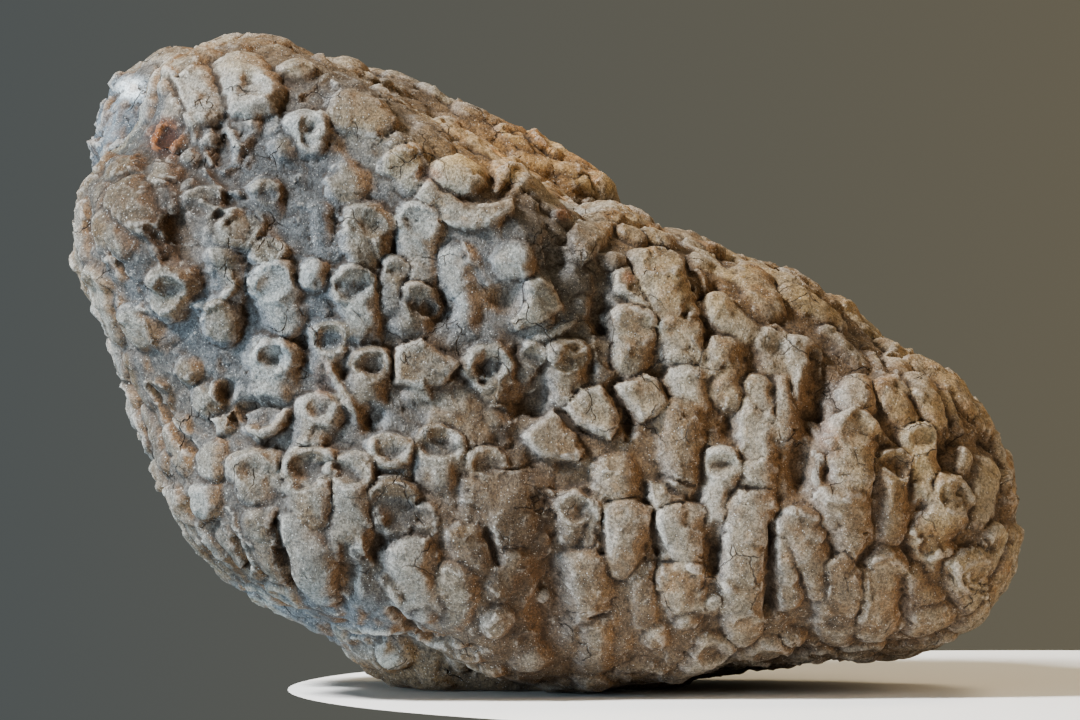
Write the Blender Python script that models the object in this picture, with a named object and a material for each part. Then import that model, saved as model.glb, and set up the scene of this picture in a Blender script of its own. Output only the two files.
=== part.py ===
"""Fossil coral head: a massive fist of finger corallites, set in limestone, as one closed solid.

Lengths below are in millimetres and are scaled to metres when a mesh is made. +X is to the right of the
broad weathered face, +Y goes away from it, +Z is up, and the head stands on a natural break at z = 0.
Places on the broad face are given as (x, z) in a plan, which is laid on the stone along lines of sight
from a point in front of it, so that what the plan shows as a row stays a row seen from there.
"""

import math
import random

import bmesh
import bpy
import numpy as np
from mathutils import Matrix, Vector, noise
from mathutils.bvhtree import BVHTree

MM = 0.001

# Driving dimensions of the head
WIDTH = 151.6
DEPTH = 98.0
HEIGHT = 105.6
SIGHT = Vector((-1.6, -1000.0, 53.0))
PLAN_Y = 0.0
FINGER_RISE = 2.5

# Mesh sizes
LOBE_STEPS = 6
FUSE_SIZE = 0.85
TRIANGLES = 9600

# The three lobes: a rim of (x, z, y) seen from in front, a centre, and how far front and back swell
NEAR_LOBE = {
    "centre": (0.0, -2.0, 46.0),
    "front": 36.0,
    "back": 34.0,
    "boxiness": 4.0,
    "rim": (
        (-75.0, 71.0, -10.0), (-73.2, 79.5, -12.0), (-71.0, 84.0, -11.0), (-67.5, 88.0, -9.0),
        (-64.6, 92.5, -7.0), (-62.8, 98.0, -5.0), (-60.0, 101.2, -3.0), (-54.5, 103.8, -2.0),
        (-49.5, 105.2, -1.0), (-43.0, 104.4, -1.0), (-37.0, 101.6, -3.0), (-30.0, 98.0, -6.0),
        (-23.0, 93.0, -8.0), (-15.0, 90.0, -8.0), (-9.0, 87.0, -8.0),
        (-2.0, 82.0, -6.0), (4.0, 78.0, -4.0), (10.0, 78.0, 0.0), (18.0, 74.0, 2.0),
        (29.0, 69.0, 4.0), (43.0, 65.5, 6.0), (54.0, 58.5, 6.0), (64.0, 50.5, 5.0),
        (70.5, 44.5, 4.0), (73.8, 33.0, 2.0), (74.8, 25.0, 0.0), (73.0, 18.0, 0.0),
        (69.0, 10.5, 0.0), (61.0, 6.5, -1.0), (46.0, 5.5, -3.0), (30.0, 3.5, -4.0),
        (17.0, 0.5, -5.0), (0.0, -1.5, -6.0), (-12.0, 4.0, -12.0), (-22.0, 9.0, -15.0),
        (-36.0, 11.5, -17.0), (-46.0, 16.5, -18.0), (-54.0, 23.0, -17.0), (-59.0, 29.0, -14.0),
        (-63.0, 37.0, -11.0), (-65.5, 47.0, -9.0), (-69.5, 56.5, -8.0), (-73.2, 65.0, -9.0),
    ),
}
FAR_LOBE = {
    "centre": (-28.0, 28.0, 62.0),
    "front": 22.0,
    "back": 25.0,
    "boxiness": 2.6,
    "rim": (
        (-75.6, 86.0, 22.0), (-76.0, 92.0, 22.0), (-73.6, 97.0, 22.0), (-69.6, 100.6, 22.0),
        (-63.5, 103.2, 22.0), (-56.0, 105.0, 22.0), (-47.0, 105.6, 20.0),
        (-37.0, 103.4, 22.0), (-27.0, 100.6, 24.0), (-16.0, 96.0, 26.0), (-6.0, 92.5, 28.0),
        (4.0, 87.4, 28.0), (8.6, 84.0, 28.0), (12.0, 74.0, 28.0), (26.0, 66.0, 26.0),
        (38.0, 50.0, 22.0), (36.0, 28.0, 18.0), (10.0, 18.0, 18.0), (-30.0, 20.0, 18.0),
        (-52.0, 34.0, 18.0), (-64.0, 52.0, 18.0), (-71.0, 72.0, 20.0), (-74.2, 80.0, 22.0),
    ),
}
UNDER_LOBE = {
    "centre": (-2.0, 14.0, 34.0),
    "front": 22.0,
    "back": 30.0,
    "boxiness": 2.8,
    "rim": (
        (-62.0, 36.0, 6.0), (-58.5, 24.5, 6.0), (-53.0, 18.0, 4.0), (-42.0, 11.0, 3.0),
        (-34.0, 5.5, 2.0), (-27.0, -0.5, 2.0), (-14.0, -4.5, 4.0), (16.0, -4.5, 8.0),
        (25.0, -0.5, 10.0), (44.0, 5.5, 12.0), (58.0, 9.0, 12.0), (68.0, 20.0, 12.0),
        (69.0, 34.0, 12.0), (60.0, 48.0, 12.0), (0.0, 62.0, 12.0), (-58.0, 58.0, 8.0),
    ),
}

# Corallites on the broad face: mouth (x, z), tail (x, z), radius, radius and depth of the hollow in the mouth
FRONT_FINGERS = (
    ((-46.8, 95.8), (-49.4, 102.2), 4.5, 1.8, 1.0),
    ((-54.6, 94.0), (-56.8, 99.6), 3.5, 0.0, 0.0),
    ((-59.8, 92.0), (-59.6, 96.8), 2.6, 0.0, 0.0),
    ((-60.0, 88.2), (-60.5, 92.0), 2.8, 1.6, 1.4),
    ((-59.0, 81.0), (-62.5, 85.5), 2.7, 0.0, 0.0),
    ((-49.0, 91.5), (-53.0, 94.0), 2.1, 0.0, 0.0),
    ((-52.3, 87.3), (-52.0, 90.5), 2.6, 1.4, 1.0),
    ((-68.5, 80.5), (-65.0, 74.5), 3.7, 0.0, 0.0),
    ((-70.0, 71.0), (-68.5, 65.5), 2.3, 0.0, 0.0),
    ((-60.3, 64.7), (-62.5, 60.5), 4.2, 1.2, 0.6),
    ((-44.8, 66.5), (-42.0, 57.0), 3.4, 1.8, 1.2),
    ((-36.5, 78.0), (-36.0, 70.0), 1.8, 0.0, 0.0),
    ((-28.7, 76.5), (-28.5, 69.5), 3.8, 2.0, 1.2),
    ((-20.7, 76.5), (-20.5, 67.5), 3.5, 1.9, 1.2),
    ((-30.9, 67.0), (-29.8, 56.5), 3.5, 2.0, 1.3),
    ((-24.5, 69.5), (-24.5, 60.5), 2.8, 0.0, 0.0),
    ((-35.0, 57.5), (-35.5, 51.5), 3.0, 1.6, 1.4),
    ((-16.0, 70.0), (-13.0, 58.0), 2.9, 0.0, 0.0),
    ((-38.2, 91.8), (-38.0, 86.0), 3.9, 1.8, 1.8),
    ((-34.5, 96.5), (-26.0, 93.0), 3.3, 0.0, 0.0),
    ((-24.0, 86.3), (-21.5, 80.5), 3.2, 1.6, 1.3),
    ((-8.0, 86.3), (-15.5, 88.8), 1.9, 0.0, 0.0),
    ((3.3, 84.0), (-4.0, 86.0), 2.6, 0.0, 0.0),
    ((17.0, 69.5), (22.3, 53.5), 3.7, 1.8, 1.0),
    ((12.3, 60.0), (13.0, 50.5), 3.4, 0.0, 0.0),
    ((24.8, 69.8), (29.0, 66.0), 2.4, 0.0, 0.0),
    ((31.0, 68.5), (35.5, 61.5), 3.2, 0.0, 0.0),
    ((26.0, 62.5), (31.0, 57.5), 2.8, 0.0, 0.0),
    ((35.0, 56.0), (35.5, 51.5), 2.8, 1.5, 1.2),
    ((40.0, 55.0), (39.8, 48.3), 3.0, 1.4, 1.0),
    ((38.0, 64.5), (45.5, 60.0), 3.0, 0.0, 0.0),
    ((44.0, 58.0), (49.5, 52.5), 2.1, 0.0, 0.0),
    ((27.5, 57.0), (28.5, 46.5), 3.2, 0.0, 0.0),
    ((20.0, 53.0), (23.0, 46.0), 3.3, 0.0, 0.0),
    ((46.7, 64.0), (51.5, 57.0), 3.1, 0.0, 0.0),
    ((54.7, 53.0), (57.5, 49.5), 2.6, 1.5, 1.4),
    ((53.0, 49.0), (56.5, 43.0), 2.8, 0.0, 0.0),
    ((58.5, 50.0), (62.0, 43.3), 3.0, 0.0, 0.0),
    ((62.0, 51.3), (69.5, 47.0), 2.7, 0.0, 0.0),
    ((58.3, 41.0), (59.5, 31.5), 2.9, 1.5, 1.0),
    ((-43.8, 54.0), (-44.5, 46.8), 3.5, 1.9, 1.8),
    ((-47.3, 37.5), (-47.3, 31.5), 4.3, 1.8, 1.3),
    ((-38.0, 36.3), (-38.0, 28.5), 4.2, 3.2, 2.6),
    ((-36.8, 46.0), (-37.5, 41.0), 3.2, 1.3, 1.4),
    ((-64.3, 44.5), (-62.0, 36.5), 2.5, 0.0, 0.0),
    ((-67.0, 53.0), (-64.5, 46.5), 2.8, 0.0, 0.0),
    ((-28.3, 53.0), (-29.0, 46.8), 3.1, 1.9, 1.8),
    ((-10.0, 53.0), (-9.5, 47.5), 3.6, 2.2, 2.2),
    ((-20.8, 48.0), (-17.5, 43.5), 2.4, 0.0, 0.0),
    ((-17.0, 40.5), (-17.5, 35.0), 3.6, 2.0, 1.8),
    ((-25.3, 39.0), (-25.5, 35.0), 3.2, 1.8, 1.5),
    ((-31.5, 36.0), (-31.7, 23.5), 3.6, 2.3, 2.0),
    ((-24.3, 32.0), (-24.3, 26.5), 3.8, 2.6, 2.0),
    ((3.5, 54.5), (2.5, 47.0), 3.1, 1.6, 1.2),
    ((8.0, 56.0), (8.6, 50.5), 2.0, 0.0, 0.0),
    ((20.7, 45.0), (21.0, 33.3), 3.4, 0.0, 0.0),
    ((3.8, 30.0), (4.0, 25.0), 3.0, 1.5, 1.0),
    ((27.3, 37.0), (26.3, 26.5), 2.8, 1.8, 1.6),
    ((33.0, 49.0), (32.7, 32.5), 2.9, 0.0, 0.0),
    ((36.6, 50.0), (36.6, 40.5), 2.3, 0.0, 0.0),
    ((32.0, 32.0), (30.8, 13.0), 3.3, 0.0, 0.0),
    ((48.2, 42.5), (48.5, 34.0), 3.6, 1.9, 1.2),
    ((46.5, 30.5), (48.0, 23.3), 3.3, 0.0, 0.0),
    ((38.5, 26.5), (44.0, 15.5), 3.2, 0.0, 0.0),
    ((54.7, 37.0), (54.0, 25.7), 2.9, 1.7, 1.8),
    ((64.5, 31.7), (60.3, 24.5), 3.5, 1.8, 2.0),
    ((59.5, 23.5), (60.0, 18.0), 2.6, 1.3, 1.0),
    ((69.8, 35.5), (68.3, 28.5), 2.8, 0.0, 0.0),
    ((71.3, 24.7), (70.5, 19.5), 2.8, 1.4, 1.0),
    ((-46.7, 28.3), (-41.5, 14.5), 3.1, 0.0, 0.0),
    ((-39.8, 25.8), (-35.5, 12.0), 3.4, 0.0, 0.0),
    ((-56.0, 25.0), (-49.0, 17.0), 2.6, 0.0, 0.0),
    ((-52.5, 24.5), (-46.0, 16.0), 2.6, 0.0, 0.0),
    ((-22.3, 24.0), (-20.5, 15.5), 3.5, 0.0, 0.0),
    ((-17.0, 18.5), (-14.8, 9.0), 3.3, 0.0, 0.0),
    ((-12.0, 29.0), (-12.3, 19.5), 2.5, 0.0, 0.0),
    ((-6.3, 22.0), (-7.8, 13.5), 2.4, 0.0, 0.0),
    ((7.0, 30.0), (6.0, 22.5), 2.4, 0.0, 0.0),
    ((6.0, 20.0), (6.7, 12.5), 3.6, 0.0, 0.0),
    ((12.3, 30.0), (11.3, 19.0), 3.4, 0.0, 0.0),
    ((14.6, 19.0), (15.0, 10.0), 2.3, 0.0, 0.0),
    ((7.7, 11.0), (7.0, 2.5), 2.7, 0.0, 0.0),
    ((20.5, 29.0), (22.0, 20.5), 3.8, 0.0, 0.0),
    ((18.8, 22.0), (21.0, 13.5), 2.9, 0.0, 0.0),
    ((31.4, 12.5), (31.4, 6.5), 3.6, 0.0, 0.0),
    ((37.3, 23.5), (38.0, 13.5), 2.6, 0.0, 0.0),
    ((44.7, 13.0), (45.7, 6.5), 2.9, 0.0, 0.0),
    ((53.0, 19.5), (51.8, 8.0), 3.1, 1.5, 1.0),
    ((57.8, 18.5), (60.5, 13.5), 2.5, 0.0, 0.0),
    ((60.5, 11.0), (60.5, 8.0), 3.9, 2.0, 1.0),
    ((67.0, 19.5), (68.0, 14.5), 3.7, 1.6, 1.0),
)

# Knobs and domed lumps on the broad face: centre (x, z), half-widths across and up, how far each stands out
KNOBS = (
    ((-68.0, 85.5), 3.4, 2.4, 1.6), ((-57.0, 86.0), 1.8, 1.8, 1.2), ((-57.5, 81.0), 1.9, 2.4, 1.2),
    ((-72.0, 74.5), 3.6, 3.8, 1.4), ((-66.0, 57.8), 4.2, 4.0, 1.6), ((-50.0, 74.0), 4.2, 3.8, 1.6),
    ((-44.5, 70.5), 3.5, 2.3, 1.4), ((-52.0, 59.0), 3.4, 4.0, 1.4), ((-37.4, 66.9), 2.8, 2.8, 1.6),
    ((-32.7, 83.0), 2.7, 2.7, 1.2), ((-42.0, 87.5), 2.8, 2.4, 0.9), ((-13.8, 85.0), 3.7, 4.0, 2.2),
    ((-28.0, 98.0), 4.2, 1.8, 1.3), ((13.5, 74.2), 3.9, 3.9, 1.6), ((9.5, 80.5), 2.6, 2.4, 1.0),
    ((24.0, 66.0), 1.9, 3.8, 1.2), ((49.0, 47.7), 3.2, 4.7, 2.4), ((33.0, 69.0), 3.0, 2.0, 1.0),
    ((67.8, 43.3), 2.6, 2.0, 1.4), ((72.2, 36.0), 1.9, 5.6, 1.2), ((-57.5, 51.0), 2.6, 2.6, 1.2),
    ((-54.5, 46.5), 2.8, 3.2, 1.4), ((-53.8, 37.0), 2.8, 3.8, 1.4), ((-55.3, 29.8), 3.4, 3.4, 1.4),
    ((-13.0, 44.0), 7.5, 6.5, 1.3), ((-5.2, 30.0), 6.6, 6.0, 1.4), ((9.3, 34.5), 4.8, 4.8, 1.8),
    ((19.0, 31.5), 4.0, 2.6, 1.4), ((65.0, 37.0), 2.5, 2.5, 1.2), ((69.0, 22.5), 1.8, 1.8, 0.9),
    ((-33.0, 8.0), 2.6, 2.4, 1.2), ((-25.0, 5.0), 3.2, 3.0, 1.4), ((-20.0, 11.5), 2.6, 2.8, 1.4),
    ((-7.8, 10.0), 3.0, 3.0, 1.6), ((-3.0, 4.0), 3.2, 3.0, 1.2), ((-9.0, 3.0), 2.4, 2.4, 1.2),
    ((-14.0, 4.5), 2.4, 2.4, 1.2), ((21.8, 11.0), 2.4, 2.4, 1.4), ((25.7, 13.5), 1.9, 1.9, 1.0),
    ((16.5, 8.0), 2.2, 2.2, 1.2), ((38.0, 7.0), 2.6, 2.4, 1.4), ((66.5, 9.8), 3.0, 2.2, 1.2),
    ((-2.6, 62.0), 4.5, 5.0, 0.8), ((-5.5, 69.0), 3.8, 3.4, 1.4), ((-74.0, 66.5), 1.8, 2.6, 1.0),
    ((39.0, 44.0), 2.6, 3.0, 0.8), ((45.0, 45.5), 1.6, 2.0, 0.6), ((66.0, 46.5), 3.0, 2.0, 1.0),
)

# Broken blocks and plates: corners (x, z) and how far the flat face stands out
PLATES = (
    (((-23.4, 80.2), (-21.0, 81.8), (-17.0, 79.8), (-13.0, 77.4), (-8.4, 77.6), (-5.4, 79.4), (-4.4, 77.4),
      (-8.0, 73.4), (-13.0, 73.1), (-18.4, 75.6)), 2.0),
    (((-4.0, 66.0), (-1.5, 67.0), (1.0, 65.0), (2.5, 61.5), (-0.5, 59.0), (-5.0, 57.3), (-6.0, 59.5),
      (-4.2, 62.5)), 1.6),
    (((3.0, 76.8), (9.5, 77.2), (10.5, 74.0), (7.5, 71.0), (4.0, 72.5)), 1.4),
    (((9.5, 67.2), (12.8, 69.0), (16.5, 61.5), (15.0, 60.5), (10.0, 64.5)), 1.5),
    (((-24.7, 55.3), (-20.3, 56.8), (-13.8, 52.5), (-17.0, 48.8), (-20.3, 48.4), (-24.8, 49.2)), 2.2),
    (((2.0, 45.5), (5.0, 49.0), (8.0, 49.6), (10.8, 47.0), (11.3, 42.0), (9.7, 39.8), (4.3, 42.3)), 2.3),
    (((9.6, 49.4), (15.3, 51.6), (17.5, 50.6), (20.0, 45.6), (18.0, 44.6), (14.6, 42.8), (11.8, 46.2)), 2.5),
    (((-4.6, 40.6), (0.5, 46.0), (3.3, 42.3), (6.0, 38.5), (4.5, 36.5), (-1.8, 37.0)), 1.6),
    (((43.0, 20.0), (47.0, 22.2), (49.4, 18.5), (49.8, 14.5), (48.8, 11.5), (46.0, 10.0), (43.2, 14.0)), 1.6),
    (((-49.8, 45.0), (-48.0, 41.5), (-45.5, 39.6), (-43.0, 41.5), (-41.4, 45.0), (-45.5, 46.5)), 1.5),
    (((-54.5, 43.7), (-50.7, 45.3), (-50.0, 41.5), (-53.0, 40.8)), 1.6),
)

# Hollows sunk between the corallites: centre (x, z), half-widths across and up, depth
HOLLOWS = (
    ((-57.0, 72.0), 4.6, 5.4, 4.6), ((-31.5, 88.0), 3.2, 2.6, 2.4), ((-7.3, 63.0), 2.6, 2.2, 2.6),
    ((0.0, 69.5), 2.6, 2.8, 3.0), ((8.0, 60.0), 1.8, 3.4, 2.4), ((43.5, 45.0), 2.1, 5.6, 3.4),
    ((38.0, 35.0), 2.6, 4.8, 3.4), ((-3.0, 46.3), 2.6, 2.6, 2.8), ((12.3, 43.0), 1.0, 2.6, 2.2),
    ((0.0, 13.5), 2.9, 6.6, 3.6), ((-45.6, 44.2), 3.2, 2.4, 2.6), ((-17.5, 61.5), 2.6, 2.4, 2.2),
    ((-51.0, 48.5), 1.2, 1.6, 2.0), ((-28.0, 43.3), 1.8, 2.0, 2.0), ((28.0, 42.0), 1.5, 2.0, 1.8),
    ((67.5, 38.8), 1.8, 1.6, 1.6), ((72.3, 27.5), 1.2, 1.8, 1.4), ((34.6, 20.0), 0.9, 6.5, 2.0),
    ((51.5, 30.0), 1.0, 5.0, 2.0), ((55.5, 14.0), 1.2, 4.0, 1.8), ((26.0, 22.0), 1.4, 4.0, 2.2),
    ((-20.0, 7.0), 5.0, 1.8, 1.6), ((2.5, 36.0), 1.6, 1.0, 1.2), ((-27.5, 22.0), 1.4, 3.2, 2.0),
    ((-34.8, 22.0), 1.2, 4.6, 2.0), ((41.5, 52.0), 1.0, 3.6, 1.6), ((62.5, 38.0), 1.4, 3.0, 1.8),
)

# Shape of a corallite: its girth, the share of it left at the tail, how far an open or a closed mouth turns
# out, the steps along it, and the longest step that doesn't leap from one lobe to another
GIRTH = 1.18
FACE_TAIL = 0.85
REST_TAIL = 0.8
FACE_LEAN = {"open": 1.2, "closed": 0.5}
REST_LEAN = {"open": 0.7, "closed": 0.3}
FINGER_SIDES = 14
PATH_STEP = 1.6
PATH_LEAP = 6.0
NORMAL_REACH = 3.0

# Corallites over the rest of the stone: how many places are tried, and how far apart and clear they are
SCATTER_COUNT = 1100
SCATTER_SPREAD = 7.6
SCATTER_CLEAR = 4.6
SCATTER_SEED = 1218
SCATTER_RADIUS = (2.7, 3.7)
SCATTER_LENGTH = (6.0, 13.0)
OPEN_SHARE = 0.55
GROWTH_ROOT = Vector((0.0, 0.0, 4.0))
STONE_MIDDLE = Vector((0.0, 4.0, 45.0))
FACE_NORMAL_Y = -0.35
BASE_CLEAR = 4.0

# How often the fused stone is smoothed, and how far its thinning goes on the broad face (elsewhere it is 1)
SMOOTH_ROUNDS = 6
FACE_THINNING = 0.55


def clear_scene():
    for obj in list(bpy.data.objects):
        bpy.data.objects.remove(obj)


def smooth_step(value):
    value = np.clip(value, 0.0, 1.0)
    return value * value * (3.0 - 2.0 * value)


def rim_tables(lobe):
    """Angle, reach and depth of the rim round the lobe's centre, sorted by angle and closed."""
    cx, _, cz = lobe["centre"]
    rows = sorted((math.atan2(z - cz, x - cx), math.hypot(x - cx, z - cz), y) for x, z, y in lobe["rim"])
    angles, reaches, depths = (np.array(column) for column in zip(*rows))
    turn = 2.0 * math.pi
    angles = np.concatenate((angles[-2:] - turn, angles, angles[:2] + turn))
    reaches = np.concatenate((reaches[-2:], reaches, reaches[:2]))
    depths = np.concatenate((depths[-2:], depths, depths[:2]))
    return angles, reaches, depths


def lobe_points(lobe, directions):
    """Where the lobe's surface lies in each direction: a boxy dome in front of its rim, and one behind."""
    angles, reaches, depths = rim_tables(lobe)
    cx, cy, cz = lobe["centre"]
    angle = np.arctan2(directions[:, 2], directions[:, 0])
    reach = np.interp(angle, angles, reaches) - FINGER_RISE
    depth = np.interp(angle, angles, depths)
    power = 2.0 / lobe["boxiness"]
    across = np.hypot(directions[:, 0], directions[:, 2]) ** power
    along = np.abs(directions[:, 1]) ** power
    swell = np.where(directions[:, 1] < 0.0, -lobe["front"], lobe["back"])
    x = cx + reach * across * np.cos(angle)
    z = cz + reach * across * np.sin(angle)
    y = cy * (1.0 - across) + depth * across + swell * along
    return np.stack((x, y, z), axis=1)


def roughen(points, directions, size, amount, seed):
    """Push points out and in by smooth noise of one size."""
    offset = Vector((seed * 7.3, seed * 3.1, seed * 5.7))
    push = np.array([noise.noise(Vector(p) / size + offset) for p in points])
    return points + directions * (push * amount)[:, None]


def add_mesh(bm, points, faces):
    verts = [bm.verts.new(p) for p in points]
    for face in faces:
        bm.faces.new([verts[i] for i in face])


def unit_sphere(steps):
    """Points and faces of an icosphere of radius 1."""
    sphere = bmesh.new()
    bmesh.ops.create_icosphere(sphere, subdivisions=steps, radius=1.0)
    points = np.array([v.co.normalized() for v in sphere.verts])
    faces = [[v.index for v in f.verts] for f in sphere.faces]
    sphere.free()
    return points, faces


def add_lobe(bm, lobe, seed):
    directions, faces = unit_sphere(LOBE_STEPS)
    points = lobe_points(lobe, directions)
    points = roughen(points, directions, 17.0, 1.8, seed)
    points = roughen(points, directions, 6.5, 0.9, seed + 1)
    add_mesh(bm, points, faces)


def ray_to_skin(tree, x, z):
    """The first point of the stone on the line of sight through (x, z) of the plan, and its normal."""
    aim = Vector((x, PLAN_Y, z))
    hit, normal, _, _ = tree.ray_cast(SIGHT, (aim - SIGHT).normalized())
    if hit is None:
        hit, normal, _, _ = tree.find_nearest(aim)
    return hit, normal


def steady_normal(tree, place, reach):
    """The stone's normal averaged over a small ring round a place on it."""
    total = Vector()
    for turn in range(6):
        angle = turn * math.pi / 3.0
        near = place + Vector((math.cos(angle), 0.0, math.sin(angle))) * reach
        _, normal, _, _ = tree.find_nearest(near)
        total += normal
    return total.normalized()


def finger_path(places, normals, radius, lean):
    """Centre line of a corallite that lies half sunk along the stone and turns out of it at its mouth."""
    path = []
    last = len(places) - 1
    for i, (place, normal) in enumerate(zip(places, normals)):
        t = i / last
        lift = -0.5 + 0.5 * min(1.0, 2.5 * t) + (0.12 + 0.3 * lean) * max(0.0, t - 0.55) / 0.45
        path.append(place + normal * (lift * radius))
    arrive = (path[-1] - path[-2]).normalized() + normals[-1] * lean
    return path, arrive.normalized()


def add_finger(bm, path, radius, tail_share, rng):
    """A round-tailed tube with a blunt mouth and faint growth swellings along it."""
    sides = FINGER_SIDES
    points, faces = [], []
    count = len(path)
    side = None
    phase = rng.uniform(0.0, 6.0)
    for i, centre in enumerate(path):
        ahead = path[min(i + 1, count - 1)] - path[max(i - 1, 0)]
        ahead.normalize()
        side = ahead.orthogonal() if side is None else side - ahead * side.dot(ahead)
        side.normalize()
        up = ahead.cross(side)
        t = i / (count - 1)
        girth = radius * GIRTH * (tail_share + (1.0 - tail_share) * t)
        girth *= 1.0 + 0.05 * math.sin(phase + i * 2.2)
        girth *= min(1.0, 0.55 + 2.2 * t) * (0.94 if i == count - 1 else 1.0)
        for k in range(sides):
            angle = 2.0 * math.pi * k / sides
            points.append(centre + side * (math.cos(angle) * girth) + up * (math.sin(angle) * girth))
    for i in range(count - 1):
        for k in range(sides):
            after = (k + 1) % sides
            faces.append((i * sides + k, i * sides + after, (i + 1) * sides + after, (i + 1) * sides + k))
    faces.append(tuple(reversed(range(sides))))
    faces.append(tuple(range((count - 1) * sides, count * sides)))
    add_mesh(bm, points, faces)


def add_knob(bm, tree, centre, half_width, half_height, rise):
    place, _ = ray_to_skin(tree, *centre)
    normal = steady_normal(tree, place, NORMAL_REACH)
    reach = min(half_width, half_height)
    turn = normal.to_track_quat("Z", "Y").to_matrix()
    depth = max(reach * 1.1, rise * 1.3)
    middle = place + normal * (rise - depth)
    scale = Matrix.Diagonal((half_width * 1.12, half_height * 1.12, depth))
    matrix = Matrix.Translation(middle) @ (turn @ scale).to_4x4()
    bmesh.ops.create_icosphere(bm, subdivisions=3, radius=1.0, matrix=matrix)


def add_plate(bm, tree, corners, rise):
    middle = sum((Vector(c) for c in corners), Vector((0.0, 0.0))) / len(corners)
    place, _ = ray_to_skin(tree, *middle)
    normal = steady_normal(tree, place, 4.0)
    flat = []
    for corner in corners:
        ray = (Vector((corner[0], PLAN_Y, corner[1])) - SIGHT).normalized()
        distance = (place - SIGHT).dot(normal) / ray.dot(normal)
        flat.append(SIGHT + ray * distance)
    centre = sum(flat, Vector()) / len(flat)
    count = len(flat)
    points = [centre + (p - centre) * 1.12 - normal * 3.0 for p in flat]
    points += [centre + (p - centre) * 1.02 + normal * (rise * 0.75) for p in flat]
    points += [centre + (p - centre) * 0.86 + normal * rise for p in flat]
    faces = [tuple(range(count)), tuple(reversed(range(2 * count, 3 * count)))]
    for level in (0, count):
        for k in range(count):
            after = (k + 1) % count
            faces.append((level + after, level + k, level + count + k, level + count + after))
    add_mesh(bm, points, faces)


def front_fingers(tree):
    """Path, radius, hollow and direction of every corallite on the broad face."""
    rows = []
    for mouth, tail, radius, hollow, depth in FRONT_FINGERS:
        mouth, tail = Vector(mouth), Vector(tail)
        steps = max(4, round((mouth - tail).length / PATH_STEP))
        places, normals = [], []
        for step in range(steps + 1):
            place, _ = ray_to_skin(tree, *tail.lerp(mouth, step / steps))
            if places and (place - places[-1]).length > PATH_LEAP:
                places, normals = [], []
            places.append(place)
            normals.append(steady_normal(tree, place, NORMAL_REACH))
        if len(places) < 3:
            continue
        lean = FACE_LEAN["open" if hollow > 0.0 else "closed"]
        path, arrive = finger_path(places, normals, radius, lean)
        rows.append((path, radius, hollow, depth, arrive, FACE_TAIL))
    return rows


def places_all_round(tree, count):
    """Places on the stone in directions spread evenly all round it, each with its normal."""
    golden = math.pi * (3.0 - math.sqrt(5.0))
    for i in range(count):
        height = 1.0 - 2.0 * (i + 0.5) / count
        ring = math.sqrt(1.0 - height * height)
        direction = Vector((ring * math.cos(golden * i), ring * math.sin(golden * i), height))
        hit, normal, _, _ = tree.ray_cast(STONE_MIDDLE + direction * 200.0, -direction)
        if hit is not None:
            yield hit, normal


def scatter_fingers(tree, rng, placed):
    """Corallites over the rest of the stone, grown up and out from the root and spaced apart."""
    rows, taken = [], []
    filled = [point for path, *_ in placed for point in path]
    filled += [ray_to_skin(tree, *row[0])[0] for row in KNOBS + HOLLOWS]
    filled += [ray_to_skin(tree, *corner)[0] for corners, _ in PLATES for corner in corners]
    for hit, normal in places_all_round(tree, SCATTER_COUNT):
        if hit.z < BASE_CLEAR:
            continue
        if any((hit - other).length < SCATTER_CLEAR for other in filled):
            continue
        if any((hit - other).length < SCATTER_SPREAD for other in taken):
            continue
        taken.append(hit)
        grow = (hit - GROWTH_ROOT).normalized() * 0.5 + Vector((0.0, 0.0, 1.0))
        grow += Vector([rng.uniform(-0.45, 0.45) for _ in range(3)])
        grow = (grow - normal * grow.dot(normal)).normalized()
        radius = rng.uniform(*SCATTER_RADIUS)
        length = rng.uniform(*SCATTER_LENGTH)
        if normal.y < FACE_NORMAL_Y:
            radius, length = radius * 0.75, length * 0.5
        steps = max(4, round(length / PATH_STEP))
        places, normals = [], []
        for step in range(steps + 1):
            place, _, _, _ = tree.find_nearest(hit - grow * (length * (0.7 - step / steps)))
            places.append(place)
            normals.append(steady_normal(tree, place, NORMAL_REACH))
        hollow = radius * rng.uniform(0.45, 0.62) if rng.random() < OPEN_SHARE else 0.0
        lean = REST_LEAN["open" if hollow > 0.0 else "closed"]
        path, arrive = finger_path(places, normals, radius, lean)
        rows.append((path, radius, hollow, hollow * rng.uniform(0.6, 0.9), arrive, REST_TAIL))
    return rows


def fused(bm, name, size):
    """The fused surface of everything in the bmesh, as points and faces in millimetres."""
    mesh = bpy.data.meshes.new(name)
    bm.to_mesh(mesh)
    guide = bpy.data.objects.new(name, mesh)
    bpy.context.scene.collection.objects.link(guide)
    remesh = guide.modifiers.new("fuse", "REMESH")
    remesh.mode = "VOXEL"
    remesh.voxel_size = size
    graph = bpy.context.evaluated_depsgraph_get()
    result = bpy.data.meshes.new_from_object(guide.evaluated_get(graph))
    bpy.data.objects.remove(guide)
    return result


def mesh_points(mesh):
    points = np.empty(len(mesh.vertices) * 3)
    mesh.vertices.foreach_get("co", points)
    return points.reshape(-1, 3)


def mesh_normals(mesh):
    normals = np.empty(len(mesh.vertices) * 3)
    mesh.vertex_normals.foreach_get("vector", normals)
    return normals.reshape(-1, 3)


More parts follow.
